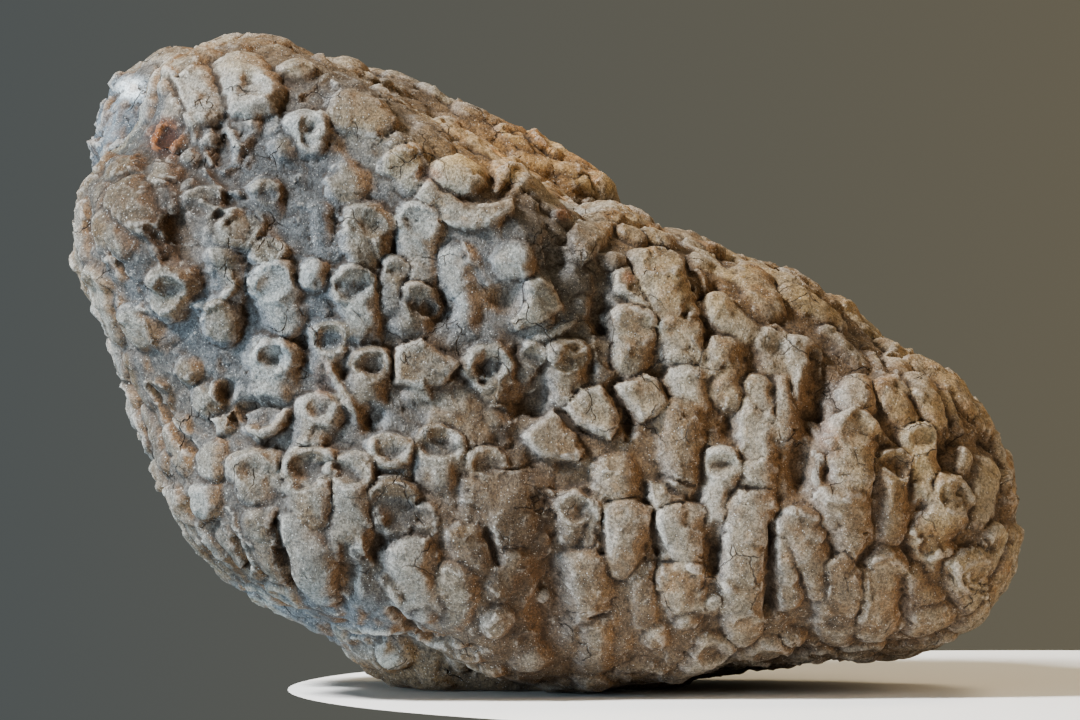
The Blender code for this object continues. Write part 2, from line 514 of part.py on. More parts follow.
def hollow_mouths(points, fingers):
    """Sink a cup into the end of each open corallite."""
    for path, radius, hollow, depth, arrive, _ in fingers:
        if hollow <= 0.0:
            continue
        mouth, axis = np.array(path[-1]), np.array(arrive)
        near = np.nonzero(np.abs(points - mouth).max(axis=1) < radius * 1.5)[0]
        offset = points[near] - mouth
        along = offset @ axis
        across = np.linalg.norm(offset - along[:, None] * axis, axis=1)
        inside = (across < hollow * 1.15) & (np.abs(along) < radius)
        share = 1.0 - np.clip(across / (hollow * 1.15), 0.0, 1.0) ** 3
        points[near] -= axis * (inside * share * depth)[:, None]


def sink_hollows(points, normals):
    """Sink the gaps of the plan into what is seen of the broad face."""
    sight = np.array(SIGHT)
    reach = (PLAN_Y - sight[1]) / (points[:, 1] - sight[1])
    plan_x = sight[0] + (points[:, 0] - sight[0]) * reach
    plan_z = sight[2] + (points[:, 2] - sight[2]) * reach
    facing = (normals[:, 1] < 0.15) & (points[:, 1] < 20.0)
    for (x, z), half_width, half_height, depth in HOLLOWS:
        out = np.hypot((plan_x - x) / half_width, (plan_z - z) / half_height)
        points[:, 1] += facing * smooth_step((1.35 - out) / 0.7) * depth


def stone_material():
    material = bpy.data.materials.new("fossil stone")
    material.use_nodes = True
    shader = material.node_tree.nodes["Principled BSDF"]
    shader.inputs["Base Color"].default_value = (0.36, 0.29, 0.22, 1.0)
    shader.inputs["Roughness"].default_value = 0.9
    shader.inputs["Metallic"].default_value = 0.0
    return material


def keep_outer_skin(bm):
    """Leave the one outer skin, without the small closed pockets that fusing can leave inside it."""
    left = set(bm.verts)
    skins = []
    while left:
        skin, edge = set(), {left.pop()}
        while edge:
            skin |= edge
            edge = {e.other_vert(v) for v in edge for e in v.link_edges} - skin
        left -= skin
        skins.append(skin)
    skins.sort(key=len)
    for skin in skins[:-1]:
        bmesh.ops.delete(bm, geom=list(skin), context="VERTS")


def cut_flat(bm):
    """Cut the underside off flat at z = 0 and close the cut."""
    geometry = bm.verts[:] + bm.edges[:] + bm.faces[:]
    cut = bmesh.ops.bisect_plane(
        bm, geom=geometry, dist=1e-5, plane_co=(0.0, 0.0, 0.0), plane_no=(0.0, 0.0, -1.0), clear_outer=True
    )
    edges = [e for e in cut["geom_cut"] if isinstance(e, bmesh.types.BMEdge)]
    bmesh.ops.holes_fill(bm, edges=edges, sides=0)
    bmesh.ops.triangulate(bm, faces=bm.faces[:])


def coral_head():
    """The fused and worn stone, in millimetres."""
    rng = random.Random(SCATTER_SEED)
    core = bmesh.new()
    for seed, lobe in enumerate((NEAR_LOBE, FAR_LOBE, UNDER_LOBE)):
        add_lobe(core, lobe, seed * 3)
    core.normal_update()
    tree = BVHTree.FromBMesh(core)
    fingers = front_fingers(tree)
    fingers += scatter_fingers(tree, rng, fingers)
    for path, radius, _, _, _, tail_share in fingers:
        add_finger(core, path, radius, tail_share, rng)
    for centre, half_width, half_height, rise in KNOBS:
        add_knob(core, tree, centre, half_width, half_height, rise)
    for corners, rise in PLATES:
        add_plate(core, tree, corners, rise)
    mesh = fused(core, "fused", FUSE_SIZE)
    core.free()
    points, normals = mesh_points(mesh), mesh_normals(mesh)
    hollow_mouths(points, fingers)
    sink_hollows(points, normals)
    mesh.vertices.foreach_set("co", points.ravel())
    mesh.update()
    return mesh


def thinned(mesh):
    """The mesh smoothed and brought down to TRIANGLES, with more of them kept on the broad face."""
    guide = bpy.data.objects.new("guide", mesh)
    bpy.context.scene.collection.objects.link(guide)
    share = guide.vertex_groups.new(name="share")
    on_face = mesh_normals(mesh)[:, 1] < FACE_NORMAL_Y
    share.add(np.nonzero(on_face)[0].tolist(), FACE_THINNING, "REPLACE")
    share.add(np.nonzero(~on_face)[0].tolist(), 1.0, "REPLACE")
    even = guide.modifiers.new("even", "SMOOTH")
    even.factor = 0.5
    even.iterations = SMOOTH_ROUNDS
    thin = guide.modifiers.new("thin", "DECIMATE")
    triangles = sum(len(p.vertices) - 2 for p in mesh.polygons)
    thin.ratio = TRIANGLES / triangles
    thin.vertex_group = share.name
    graph = bpy.context.evaluated_depsgraph_get()
    result = bpy.data.meshes.new_from_object(guide.evaluated_get(graph))
    bpy.data.objects.remove(guide)
    return result


def finished(mesh, name):
    """The head as a named object, cut flat below, on the origin and brought to its driving dimensions."""
    bm = bmesh.new()
    bm.from_mesh(thinned(mesh))
    keep_outer_skin(bm)
    cut_flat(bm)
    low = Vector([min(v.co[i] for v in bm.verts) for i in range(3)])
    high = Vector([max(v.co[i] for v in bm.verts) for i in range(3)])
    middle, size = (low + high) / 2.0, high - low
    bmesh.ops.translate(bm, verts=bm.verts[:], vec=(-middle.x, -middle.y, -low.z))
    fit = (WIDTH / size.x * MM, DEPTH / size.y * MM, HEIGHT / size.z * MM)
    bmesh.ops.scale(bm, verts=bm.verts[:], vec=fit)
    final = bpy.data.meshes.new(name)
    bm.to_mesh(final)
    bm.free()
    final.shade_smooth()
    head = bpy.data.objects.new(name, final)
    head.data.materials.append(stone_material())
    bpy.context.scene.collection.objects.link(head)
    return head


clear_scene()
finished(coral_head(), "coral_head")
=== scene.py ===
"""Looks of the fossil coral head: the weathered stone as one fine mesh, its material, light and camera.

The stone is modelled in millimetres in its own plan, as the solid is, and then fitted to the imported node's
box. Places on the broad face are (x, z) in a plan seen from SIGHT, a point in front of it.
"""

import itertools
import math
import random

import bmesh
import bpy
import numpy as np
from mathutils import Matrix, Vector, noise
from mathutils.bvhtree import BVHTree


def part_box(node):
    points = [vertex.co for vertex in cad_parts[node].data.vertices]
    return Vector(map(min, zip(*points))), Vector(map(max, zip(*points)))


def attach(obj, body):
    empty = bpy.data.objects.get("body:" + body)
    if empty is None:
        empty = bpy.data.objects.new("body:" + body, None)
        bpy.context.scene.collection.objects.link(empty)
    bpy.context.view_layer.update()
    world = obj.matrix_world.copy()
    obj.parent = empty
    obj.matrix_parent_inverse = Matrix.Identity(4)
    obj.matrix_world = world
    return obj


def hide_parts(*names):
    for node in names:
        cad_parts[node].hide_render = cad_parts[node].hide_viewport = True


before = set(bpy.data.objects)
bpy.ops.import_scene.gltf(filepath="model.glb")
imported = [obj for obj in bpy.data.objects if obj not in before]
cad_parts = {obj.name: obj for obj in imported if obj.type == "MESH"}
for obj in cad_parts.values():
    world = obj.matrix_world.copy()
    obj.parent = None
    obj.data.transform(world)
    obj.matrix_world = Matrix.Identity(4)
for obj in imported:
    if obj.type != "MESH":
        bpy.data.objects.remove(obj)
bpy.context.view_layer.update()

MM = 0.001
NODE = "coral_head"

# The plan of the broad face: where it is seen from, and the depth at which it is true to size
SIGHT = Vector((-1.6, -1000.0, 53.0))
PLAN_Y = 0.0

# How far the bare lobes lie inside their rims, the size and strength of their waves, and how far the waves'
# noise moves from one seed to the next
FINGER_RISE = 2.5
LOBE_WAVES = ((17.0, 1.8), (6.5, 0.9))
WAVE_STRIDE = (7.3, 3.1, 5.7)

# Mesh sizes, the broad face's share of the thinning, and where and how the share grows behind it
LOBE_STEPS = 6
SKIN_SIZE = 0.43
TRIANGLES = 196000
FACE_THINNING = 0.3
THINNING_FROM = 0.35
THINNING_FADE = 0.6
THINNING_STEPS = 8

# The three lobes: a rim of (x, z, y) seen from in front, a centre, and how far front and back swell
NEAR_LOBE = {
    "centre": (0, -2, 46),
    "front": 36,
    "back": 34,
    "boxiness": 4,
    "rim": (
        (-75, 71, -10), (-73.2, 79.5, -12), (-71, 84, -11), (-67.5, 88, -9), (-64.6, 92.5, -7),
        (-62.8, 98, -5), (-60, 101.2, -3), (-54.5, 103.8, -2), (-49.5, 105.2, -1), (-43, 104.4, -1),
        (-37, 101.6, -3), (-30, 98, -6), (-23, 93, -8), (-15, 90, -8), (-9, 87, -8), (-2, 82, -6),
        (4, 78, -4), (10, 78, 0), (18, 74, 2), (29, 69, 4), (43, 65, 6), (52, 58, 6), (57, 52.5, 5),
        (64, 49.5, 5), (70, 43.5, 4), (73.8, 33, 2), (74.8, 25, 0), (73, 18, 0), (69, 10.5, 0),
        (61, 6.5, -1), (46, 5.5, -3), (30, 3.5, -4), (17, 0.5, -5), (0, -1.5, -6), (-12, 4, -12),
        (-22, 9, -15), (-36, 11.5, -17), (-46, 16.5, -18), (-54, 23, -17), (-59, 29, -14), (-63, 37, -11),
        (-65.5, 47, -9), (-69.5, 56.5, -8), (-73.2, 65, -9),
    ),
}
FAR_LOBE = {
    "centre": (-28, 28, 62),
    "front": 22,
    "back": 25,
    "boxiness": 2.6,
    "rim": (
        (-75.6, 86, 22), (-76, 92, 22), (-73.6, 97, 22), (-69.6, 100.6, 22), (-63.5, 103.2, 22),
        (-56, 105, 22), (-47, 105.6, 20), (-37, 103.4, 22), (-27, 100.6, 24), (-16, 96, 26), (-6, 92.5, 28),
        (4, 87.4, 28), (8.6, 84, 28), (12, 74, 28), (26, 66, 26), (38, 50, 22), (36, 28, 18), (10, 18, 18),
        (-30, 20, 18), (-52, 34, 18), (-64, 52, 18), (-71, 72, 20), (-74.2, 80, 22),
    ),
}
UNDER_LOBE = {
    "centre": (-2, 14, 34),
    "front": 22,
    "back": 30,
    "boxiness": 2.8,
    "rim": (
        (-62, 36, 6), (-58.5, 24.5, 6), (-53, 18, 4), (-42, 11, 3), (-34, 5.5, 2), (-27, -0.5, 2),
        (-14, -4.5, 4), (16, -4.5, 8), (25, -0.5, 10), (44, 5.5, 12), (58, 9, 12), (68, 20, 12),
        (69, 34, 12), (60, 48, 12), (0, 62, 12), (-58, 58, 8),
    ),
}

# Corallites on the broad face: x and z of the mouth and of the tail, radius, and where the mouth is open the
# radius and depth of its hollow
FRONT_FINGERS = (
    (-46.8, 95.8, -49.4, 102.2, 4.3, 1.8, 1.4), (-54.6, 94, -56.8, 99.6, 3.5),
    (-59.8, 92.8, -59.6, 96.8, 2.6), (-60.2, 88.3, -60.6, 90.5, 2.9, 1.9, 2.6),
    (-61.6, 82.6, -61.4, 85, 2.7), (-60.8, 78.6, -61.2, 81, 2), (-48.6, 91.4, -51, 93, 2),
    (-68, 80.6, -65.2, 77.4, 3.5), (-72, 74.6, -68.6, 71.6, 3), (-70, 69.6, -69, 66.4, 1.7),
    (-73.4, 68, -72.6, 62.6, 2), (-60.6, 65.6, -60.8, 63, 3.9, 1.5, 1.5),
    (-44.6, 66.2, -41.9, 59, 3.4, 1.8, 1.2), (-36.5, 78, -36, 70, 1.8),
    (-28.7, 76.5, -28.5, 69.5, 3.8, 2, 1.2), (-20.7, 76.5, -20.5, 67.5, 3.5, 1.9, 1.2),
    (-30.9, 66.4, -30.3, 59.4, 3.4, 2.2, 1.5), (-24.5, 68.4, -25, 62.6, 2.7, 1.2, 0.5),
    (-35, 57.5, -35.5, 51.5, 3, 1.6, 1.4), (-19.6, 63.2, -21.6, 59.6, 3.4, 2.4, 1.3),
    (-16, 70, -13.6, 60, 2.7), (-32.4, 82.6, -32, 79.6, 3.3), (-24.4, 88.8, -20.4, 87, 1.9),
    (-15.6, 89.2, -9.4, 87.4, 1.7), (-33, 98, -25.6, 97.2, 1.9), (-22, 97.6, -17, 94, 1.8),
    (-38, 91.6, -38, 89.4, 3.7, 1.5, 1.2), (-33, 94.4, -27, 93.2, 3.5),
    (-24.4, 85, -22.6, 82, 3.2, 1.5, 0.8), (3.3, 84, -4, 86, 2.6), (-26, 100.6, -35, 101.8, 2.9),
    (-16.5, 94, -22, 97.6, 2.3), (7.5, 84.2, -5, 90.6, 2.7), (6.8, 80.8, 0.5, 84, 2.2),
    (17, 69.5, 22.3, 53.5, 3.7, 1.8, 1), (12.9, 59.2, 12.8, 54, 3.5, 2.2, 0.9), (23.5, 69.3, 27.6, 67, 2.8),
    (31.5, 67.5, 34.8, 62.8, 3.6), (26, 62.5, 31, 57.5, 2.8), (35, 56, 35.5, 51.5, 2.8, 1.5, 1.2),
    (40, 55, 39.8, 48.3, 3, 1.4, 1), (38, 64.5, 45.5, 60, 3), (44, 58, 49.5, 52.5, 2.1),
    (27.4, 55, 28.4, 47.4, 3.4), (21.6, 50.6, 22.4, 46.4, 3.3), (46.7, 64, 51.5, 57, 3.1),
    (54.7, 53, 57.5, 49.5, 2.6, 1.5, 1.4), (53, 49, 56.5, 43, 2.8), (58.5, 50, 62, 43.3, 3),
    (62, 51.3, 69.5, 47, 2.7), (58.3, 41, 59.5, 31.5, 2.9, 1.5, 1),
    (-43.4, 54.2, -44.3, 48.8, 3.7, 1.8, 1.4), (-47.4, 36.2, -46.8, 33, 3.9, 1.7, 1),
    (-38, 36.3, -38, 28.5, 4.2, 3.2, 2.6), (-36.8, 46, -37.5, 41, 3.2, 1.3, 1.4),
    (-64.3, 44.5, -62, 36.5, 2.5), (-67, 53, -64.5, 46.5, 2.8), (-28.3, 53, -29, 46.8, 3.1, 1.9, 1.8),
    (-10, 53, -9.5, 47.5, 3.6, 2.2, 2.2), (-20.8, 48, -17.5, 43.5, 2.4),
    (-17, 40.5, -17.5, 35, 3.6, 2, 1.8), (-25.3, 39, -25.5, 35, 3.2, 1.8, 1.5),
    (-31.5, 36, -31.7, 23.5, 3.6, 2.3, 2), (-24.5, 31, -24.4, 27.8, 3.8, 2.6, 1.7),
    (3.5, 54.5, 2.5, 47, 3.1, 1.6, 1.2), (8, 56, 8.6, 50.5, 2), (20.7, 45, 21, 33.3, 3.4),
    (3.8, 30, 4, 25, 3, 1.5, 1), (27.3, 37, 26.3, 26.5, 2.8, 1.8, 1.6), (33, 49, 32.7, 32.5, 2.9),
    (36.6, 50, 36.6, 40.5, 2.3), (31.8, 30.4, 30.6, 8, 3.5), (48.2, 42.5, 48.5, 34, 3.6, 1.9, 1.2),
    (46.5, 30.5, 48, 23.3, 3.3), (38.5, 26.5, 44, 15.5, 3.2), (54.7, 37, 54, 25.7, 2.9, 1.7, 1.8),
    (64.5, 31.7, 60.3, 24.5, 3.5, 1.8, 2), (59.5, 23.5, 60, 18, 2.6, 1.3, 1), (69.8, 35.5, 68.3, 28.5, 2.8),
    (71.3, 24.7, 70.5, 19.5, 2.8, 1.4, 1), (-46.8, 27.6, -43.4, 16.5, 2.8), (-40.8, 25.4, -36.4, 13.5, 3.5),
    (-56, 25, -49, 17, 2.6), (-52.5, 24.5, -46, 16, 2.6), (-22.6, 21.8, -19.4, 12, 3.8),
    (-15.6, 17.2, -15.4, 11, 3.4), (-13.6, 25, -11.4, 20.4, 2.9), (-5.6, 20.6, -7.4, 15.6, 2.7),
    (7, 30, 6, 22.5, 2.4), (6, 20, 6.7, 12.5, 3.6), (12.3, 27.8, 11.2, 20.6, 3.9), (14.6, 19, 15, 10, 2.3),
    (7.7, 11, 7, 2.5, 2.7), (20.2, 26.8, 21.2, 22.6, 4), (19.8, 18.6, 22, 12.4, 3.5),
    (37.3, 23.5, 38, 13.5, 2.6), (44.7, 13, 45.7, 6.5, 2.9), (53.4, 20.4, 51.8, 8, 3.5),
    (57.8, 18.5, 60.5, 13.5, 2.5), (67, 19.5, 68, 14.5, 3.7, 1.6, 1),
)

# Knobs and domed lumps on the broad face: x, z, half-widths across and up, and how far each stands out
KNOBS = (
    (-39.6, 101, 3.2, 2.4, 1.6), (-68.5, 84.8, 3.3, 2.5, 1.8), (-57, 86, 1.6, 1.8, 1),
    (-57.2, 81.4, 1.5, 1.6, 0.6), (-53.4, 88.6, 1.4, 1.3, 0.6), (-66, 57.8, 4.2, 4, 1.6),
    (-50, 74, 4.2, 3.8, 1.6), (-44.5, 70.5, 3.5, 2.3, 1.4), (-52, 59, 3.4, 4, 1.4),
    (-37.4, 66.9, 2.8, 2.8, 1.6), (-32.7, 83, 2.7, 2.7, 1.2), (-42, 87.5, 2.8, 2.4, 0.9),
    (-13.8, 84.2, 4.6, 3.7, 2.4), (14, 74, 3.4, 2.7, 1.7), (9.5, 80.5, 2.6, 2.4, 1),
    (24, 66, 1.9, 3.8, 1.2), (49, 47.7, 3.2, 4.7, 2.4), (33, 69, 3, 2, 1), (67.8, 43.3, 2.6, 2, 1.4),
    (72.2, 36, 1.9, 5.6, 1.2), (-57.5, 51, 2.6, 2.6, 1.2), (-54.5, 46.5, 2.8, 3.2, 1.4),
    (-53.8, 37, 2.8, 3.8, 1.4), (-55.3, 29.8, 3.4, 3.4, 1.4), (-13, 44, 7.5, 6.5, 1.3),
    (-5.4, 28.8, 7.2, 6.2, 1.2), (10.4, 34, 4, 4, 1.7), (-1, 14.2, 1.3, 1, 0.8), (15, 3, 4.5, 1.8, 0.8),
    (65, 37, 2.5, 2.5, 1.2), (69, 22.5, 1.8, 1.8, 0.9), (-33, 8, 2.6, 2.4, 1.2), (-25, 5, 3.2, 3, 1.4),
    (-20, 11.5, 2.6, 2.8, 1.4), (-7.8, 10, 3, 3, 1.6), (-3, 4, 3.2, 3, 1.2), (-9, 3, 2.4, 2.4, 1.2),
    (-14, 4.5, 2.4, 2.4, 1.2), (21.8, 11, 2.4, 2.4, 1.4), (25.7, 13.5, 1.9, 1.9, 1),
    (16.5, 8, 2.2, 2.2, 1.2), (38, 7, 2.6, 2.4, 1.4), (45.6, 11, 2.7, 2.8, 1.2), (53, 18, 3.3, 3.5, 1.6),
    (60, 9.8, 4.6, 3.6, 1.7), (66.5, 9.8, 3, 2.2, 1.2), (-2.6, 62, 4.5, 5, 0.8), (-5.5, 69, 3.8, 3.4, 1.4),
    (-74, 66.5, 1.8, 2.6, 1), (4.3, 66, 3.8, 3.2, 0.6), (5, 62.3, 2.2, 2.4, 0.5), (66, 46.5, 3, 2, 1),
)

# Broken blocks and plates: corners (x, z) and how far the flat face stands out
PLATES = (
    (((-21.8, 80), (-19.4, 83), (-17, 81.5), (-13.4, 78.6), (-9.6, 78.4), (-6.4, 79), (-5.6, 77),
      (-8.4, 75), (-12, 74), (-17, 75.6)), 1.5),
    (((-4, 66), (-1.5, 67), (1, 65), (2.5, 61.5), (-0.5, 59), (-5, 57.3), (-6, 59.5), (-4.2, 62.5)), 1.6),
    (((3.5, 76.5), (9.5, 77.2), (11.5, 75.5), (9.5, 72.5), (6.5, 70.8), (4, 72.5), (3, 74.5)), 1.4),
    (((1.8, 72.5), (4.5, 72), (7, 70), (4.5, 68.5), (2.5, 70)), 1),
    (((7.3, 70.5), (12.3, 70.2), (12, 68.5), (10.3, 67.5), (8.5, 68.5)), 1),
    (((9.5, 67.2), (12.8, 69), (16.5, 61.5), (15, 60.5), (10, 64.5)), 1.5),
    (((-24.7, 55.3), (-20.3, 56.8), (-13.8, 52.5), (-17, 48.8), (-20.3, 48.4), (-24.8, 49.2)), 2.2),
    (((2, 45.5), (5, 49), (8, 49.6), (10.8, 47), (11.3, 42), (9.7, 39.8), (4.3, 42.3)), 2.3),
    (((9.6, 49.4), (15.3, 51.6), (17.5, 50.6), (20, 45.6), (18, 44.6), (14.6, 42.8), (11.8, 46.2)), 2.5),
    (((-4.6, 40.6), (0.5, 46), (3.3, 42.3), (6, 38.5), (4.5, 36.5), (-1.8, 37)), 1.6),
    (((15, 34), (19, 34), (22.8, 31.8), (21.5, 29.5), (16.8, 28.2), (15.3, 30.5)), 1.2),
    (((43, 20), (47, 22.2), (49.4, 18.5), (49.8, 14.5), (48.8, 11.5), (46, 10), (43.2, 14)), 1.6),
    (((-49.8, 45), (-48, 41.5), (-45.5, 39.6), (-43, 41.5), (-41.4, 45), (-45.5, 46.5)), 1.5),
    (((-54.5, 43.7), (-50.7, 45.3), (-50, 41.5), (-53, 40.8)), 1.6),
)

# Hollows sunk between the corallites: x, z, half-widths across and up, depth
HOLLOWS = (
    (-58.2, 73.4, 2.9, 4.6, 2.8), (-47.3, 97.2, 1.2, 0.8, 1.2), (-51.8, 86.6, 1.4, 2.4, 0.9),
    (-31.5, 87.6, 2.6, 2.2, 1.2), (-7.3, 63, 2.6, 2.2, 2.6), (0, 69.5, 2.6, 2.8, 3), (8, 60, 1.8, 3.4, 2.4),
    (41.8, 45.5, 2.3, 5.4, 3.8), (39.6, 35.5, 1.8, 4.6, 3.4), (20.8, 60, 0.7, 0.8, 1.4),
    (26, 64.2, 1, 0.8, 1.6), (-3, 46.3, 2.6, 2.6, 2.8), (12.3, 43, 1, 2.6, 2.2), (0, 13.5, 2.9, 6.6, 3.6),
    (-45.6, 44.2, 3.2, 2.4, 2.6), (-17.5, 61.5, 2.6, 2.4, 2.2), (-51, 48.5, 1.2, 1.6, 2),
    (-28, 43.3, 1.8, 2, 2), (28, 42, 1.5, 2, 1.8), (67.5, 38.8, 1.8, 1.6, 1.6), (72.3, 27.5, 1.2, 1.8, 1.4),
    (34.6, 20, 0.9, 6.5, 2), (51.5, 30, 1, 5, 2), (58.6, 29.2, 1, 1, 1.4), (55.5, 14, 1.2, 4, 1.8),
    (26, 22, 1.4, 4, 2.2), (-20, 7, 5, 1.8, 1.6), (2.5, 36, 1.6, 1, 1.2), (-27.5, 22, 1.4, 3.2, 2),
    (-32.2, 17, 1.6, 5.4, 2.2), (41.5, 52, 1, 3.6, 1.6), (62.5, 38, 1.4, 3, 1.8),
)

# Thin raised lips, rims and broken shell edges: points (x, z), half-width, how far each stands out
RIDGES = (
    (((-46.6, 91), (-47.6, 89), (-48.6, 87.4)), 1, 0.8),
    (((-51.2, 90), (-49.9, 88.4), (-49.4, 86.2), (-49.9, 84.4), (-51.6, 83.3)), 0.9, 0.9),
    (((-53.6, 89.8), (-54.8, 88), (-54.6, 86), (-53.8, 84.8)), 0.7, 0.6),
    (((-64.4, 74.2), (-63.2, 72), (-61.6, 69.4)), 0.9, 0.8),
    (((-66.2, 74.6), (-64.2, 75), (-62, 74.4), (-61.2, 73)), 0.7, 0.6),
    (((-70.6, 86), (-68.2, 87.6), (-66.2, 87.4), (-65.2, 85.8), (-65.8, 84)), 0.6, 0.4),
    (((-59.6, 98.6), (-58.4, 96.8), (-57.6, 93.6), (-56.2, 91), (-56, 88.4)), 0.6, 0.6),
    (((-45, 93.6), (-43.4, 92.6), (-43.3, 91), (-44.6, 89.3)), 0.6, 0.5),
    (((-54.8, 83.6), (-53.5, 81.6), (-51.6, 80.3), (-49.4, 79.8)), 0.8, 0.7),
    (((-55.3, 78), (-53.6, 77), (-51.6, 76.9), (-50.2, 77.5)), 0.6, 0.6),
    (((-50.8, 67), (-50.2, 65.2), (-51.8, 63.3), (-54, 62.1), (-56, 62.2)), 0.9, 0.8),
    (((-40, 95.3), (-37.5, 97), (-35.5, 98.5)), 0.6, 0.5),
    (((-32, 98.3), (-28, 97.4), (-24, 96)), 1.5, 0.8),
    (((-8.8, 79.8), (-8, 82), (-6, 82), (-5, 80.5), (-7, 78.3)), 0.8, 0.7),
    (((-3.6, 56), (0, 57.2), (3.5, 59.3)), 0.9, 0.8), (((33.3, 57.4), (35.2, 58), (37.3, 56.3)), 0.7, 0.6),
    (((53.5, 57), (56.5, 54.5), (55.5, 51)), 0.7, 0.6),
    (((50.5, 53.5), (52, 50), (55, 48), (57.8, 46)), 0.9, 0.8),
    (((-49.8, 44.7), (-48, 41.5), (-45.5, 40.3), (-43, 41.5), (-41.6, 44.5)), 0.9, 0.9),
    (((-43.6, 36), (-42.5, 32)), 0.8, 0.7), (((-53, 49), (-51.8, 46)), 0.7, 0.6),
    (((-61.5, 36), (-59.9, 32.3)), 0.9, 0.7), (((-6.3, 55.5), (-6, 52.5), (-6.2, 49.5)), 0.7, 0.6),
    (((-28.2, 39.5), (-27.5, 36.5), (-25.5, 35.3), (-23.3, 36.5), (-22, 38.7)), 0.7, 0.6),
    (((-34.6, 52), (-33, 47.5), (-31, 43.7)), 1, 1.1), (((-14, 37), (-13.4, 32.5), (-13.6, 28)), 1.3, 0.6),
    (((0.5, 54.8), (3.3, 53.6), (6.8, 55.3)), 0.6, 0.5),
    (((1.6, 30.6), (4, 31.3), (6.2, 30.3), (7.5, 27.5)), 0.7, 0.6),
    (((3.6, 31.8), (6, 32.7), (8.3, 31)), 0.6, 0.6),
    (((42.6, 36.7), (42.2, 33.5), (43.8, 30.7), (48, 31)), 0.9, 0.8),
    (((45.5, 43), (47.7, 44.2), (50, 43), (52.3, 40.3)), 0.8, 0.7),
    (((35.5, 29.5), (38.5, 28.6), (42, 27.5)), 0.9, 0.7),
    (((53, 39.7), (56.9, 36.5), (55.5, 32.7), (52.2, 35)), 0.6, 0.6), (((41.5, 43), (43.8, 38.7)), 1, 1),
    (((56.8, 24.8), (57.8, 22.6), (60, 21.4), (62.4, 22.2)), 0.9, 0.8),
    (((70.5, 42), (72.6, 36.5), (73.3, 31)), 1.4, 0.7),
    (((-30.2, 23.5), (-27.5, 19), (-24.5, 14.5), (-20.5, 9.7)), 0.9, 0.8),
    (((22.5, 19.6), (28, 16.7)), 1, 1.1),
    (((47, 22.2), (49.4, 18.5), (49.8, 14.5), (48.8, 11.5)), 0.6, 0.6),
    (((50.3, 20.8), (53, 21.7), (55.8, 18.8), (56.2, 15.5)), 0.7, 0.6),
    (((63.4, 20.2), (63.5, 17.6), (65, 15.9), (67.5, 15.3)), 0.6, 0.6),
    (((64.8, 19.6), (65, 18), (66.1, 17), (67.7, 16.7)), 0.5, 0.5),
    (((28.8, 12), (31.5, 13.2), (34, 11.8)), 0.6, 0.6),
    (((-10.2, 10.8), (-9, 12.2), (-7, 12.4), (-5.6, 11)), 0.5, 0.4),
    (((-52.4, 74.6), (-48.2, 78.2), (-45.6, 74.6), (-47.6, 71.4)), 0.8, 0.7),
)

# Cracks and narrow grooves: points (x, z), half-width, depth
CRACKS = (
    (((-69.4, 71), (-68.4, 69.2), (-66.8, 66.4)), 0.5, 1), (((-71, 82.3), (-66, 82.5)), 0.4, 0.9),
    (((-59.5, 98), (-58.6, 95.4), (-56.8, 92.4)), 0.5, 0.9), (((-62.4, 81.4), (-59.2, 81.2)), 0.3, 0.6),
    (((-65, 84.8), (-59, 83.6)), 0.3, 0.5), (((-28, 96.2), (-25, 94.5)), 0.5, 0.8),
    (((-5, 82), (-1, 80), (3, 78), (8, 77.5)), 0.7, 1.2), (((-27.2, 34.3), (-24, 34.6)), 0.6, 0.9),
    (((-9, 35.4), (-6, 35), (-2, 36.6)), 0.35, 0.5), (((17.3, 34.3), (22.8, 32.4)), 0.4, 0.6),
    (((30, 32.2), (35, 32.3)), 0.35, 0.5), (((34.6, 26), (34.8, 13)), 1, 2),
    (((-43, 26.5), (-42, 21.5), (-40.3, 16.5)), 0.8, 1.3),
    (((-49.3, 24), (-47.3, 20.5), (-45.5, 16)), 0.9, 1.6), (((-10.2, 25.5), (-8.4, 20)), 0.6, 1),
    (((8, 28), (8.3, 22)), 0.6, 1), (((6, 11.8), (9.3, 12)), 0.4, 0.5), (((16.3, 28), (17, 22)), 0.7, 1.2),
    (((-62.8, 49), (-60, 44), (-56, 38.3)), 0.8, 1.3), (((-24.8, 12.8), (-19, 7.6), (-12, 6.5)), 1, 1.5),
    (((19.6, 71.5), (21.6, 67.5), (23.2, 64), (24.2, 60), (24.4, 55)), 0.8, 0.6),
)

# Round rims seen end on: x, z, radius, half-width, how far each stands out
RINGS = (
    (-38, 91.4, 2.7, 0.9, 0.35), (-60.4, 64.8, 3.4, 0.7, 0.3), (-60.2, 88.5, 2.3, 0.6, 0.4),
    (-40.6, 75.2, 0.6, 0.4, 0.3), (-10, 53, 2.9, 0.8, 0.6), (25.7, 13.5, 1.4, 0.6, 0.4),
    (-43.8, 54, 2.5, 0.8, 0.4), (-17.2, 41, 2.8, 0.8, 0.4), (-38, 36.3, 3.4, 0.9, 0.5),
    (-28.3, 52.7, 2.5, 0.7, 0.4), (-55.3, 29.8, 2.6, 0.8, 0.3), (-44.5, 70.5, 2.2, 0.7, 0.3),
    (13.5, 74.2, 3.1, 0.8, 0.3), (64.5, 31.7, 2.4, 0.8, 0.4), (-47.6, 36.2, 3, 0.8, 0.3),
)

# Limestone left bare between the corallites: x, z, half-widths across and up, and how far back it reaches
BARE = (
    (-43, 82, 5.5, 6.5), (-57, 72, 5.5, 7.5), (-52.5, 68.5, 3, 2.6), (-58, 57, 3.4, 2.4), (-57.5, 34, 3, 3),
    (0, 13.5, 3, 7), (8, 60.5, 2.4, 4.2), (43, 45, 2.6, 6), (38, 35, 2.8, 5), (-38.5, 9.5, 7, 3),
    (-18, 7.4, 6, 1.8), (-5.2, 30, 5.6, 5.2),
)
BARE_BACK = 10.0

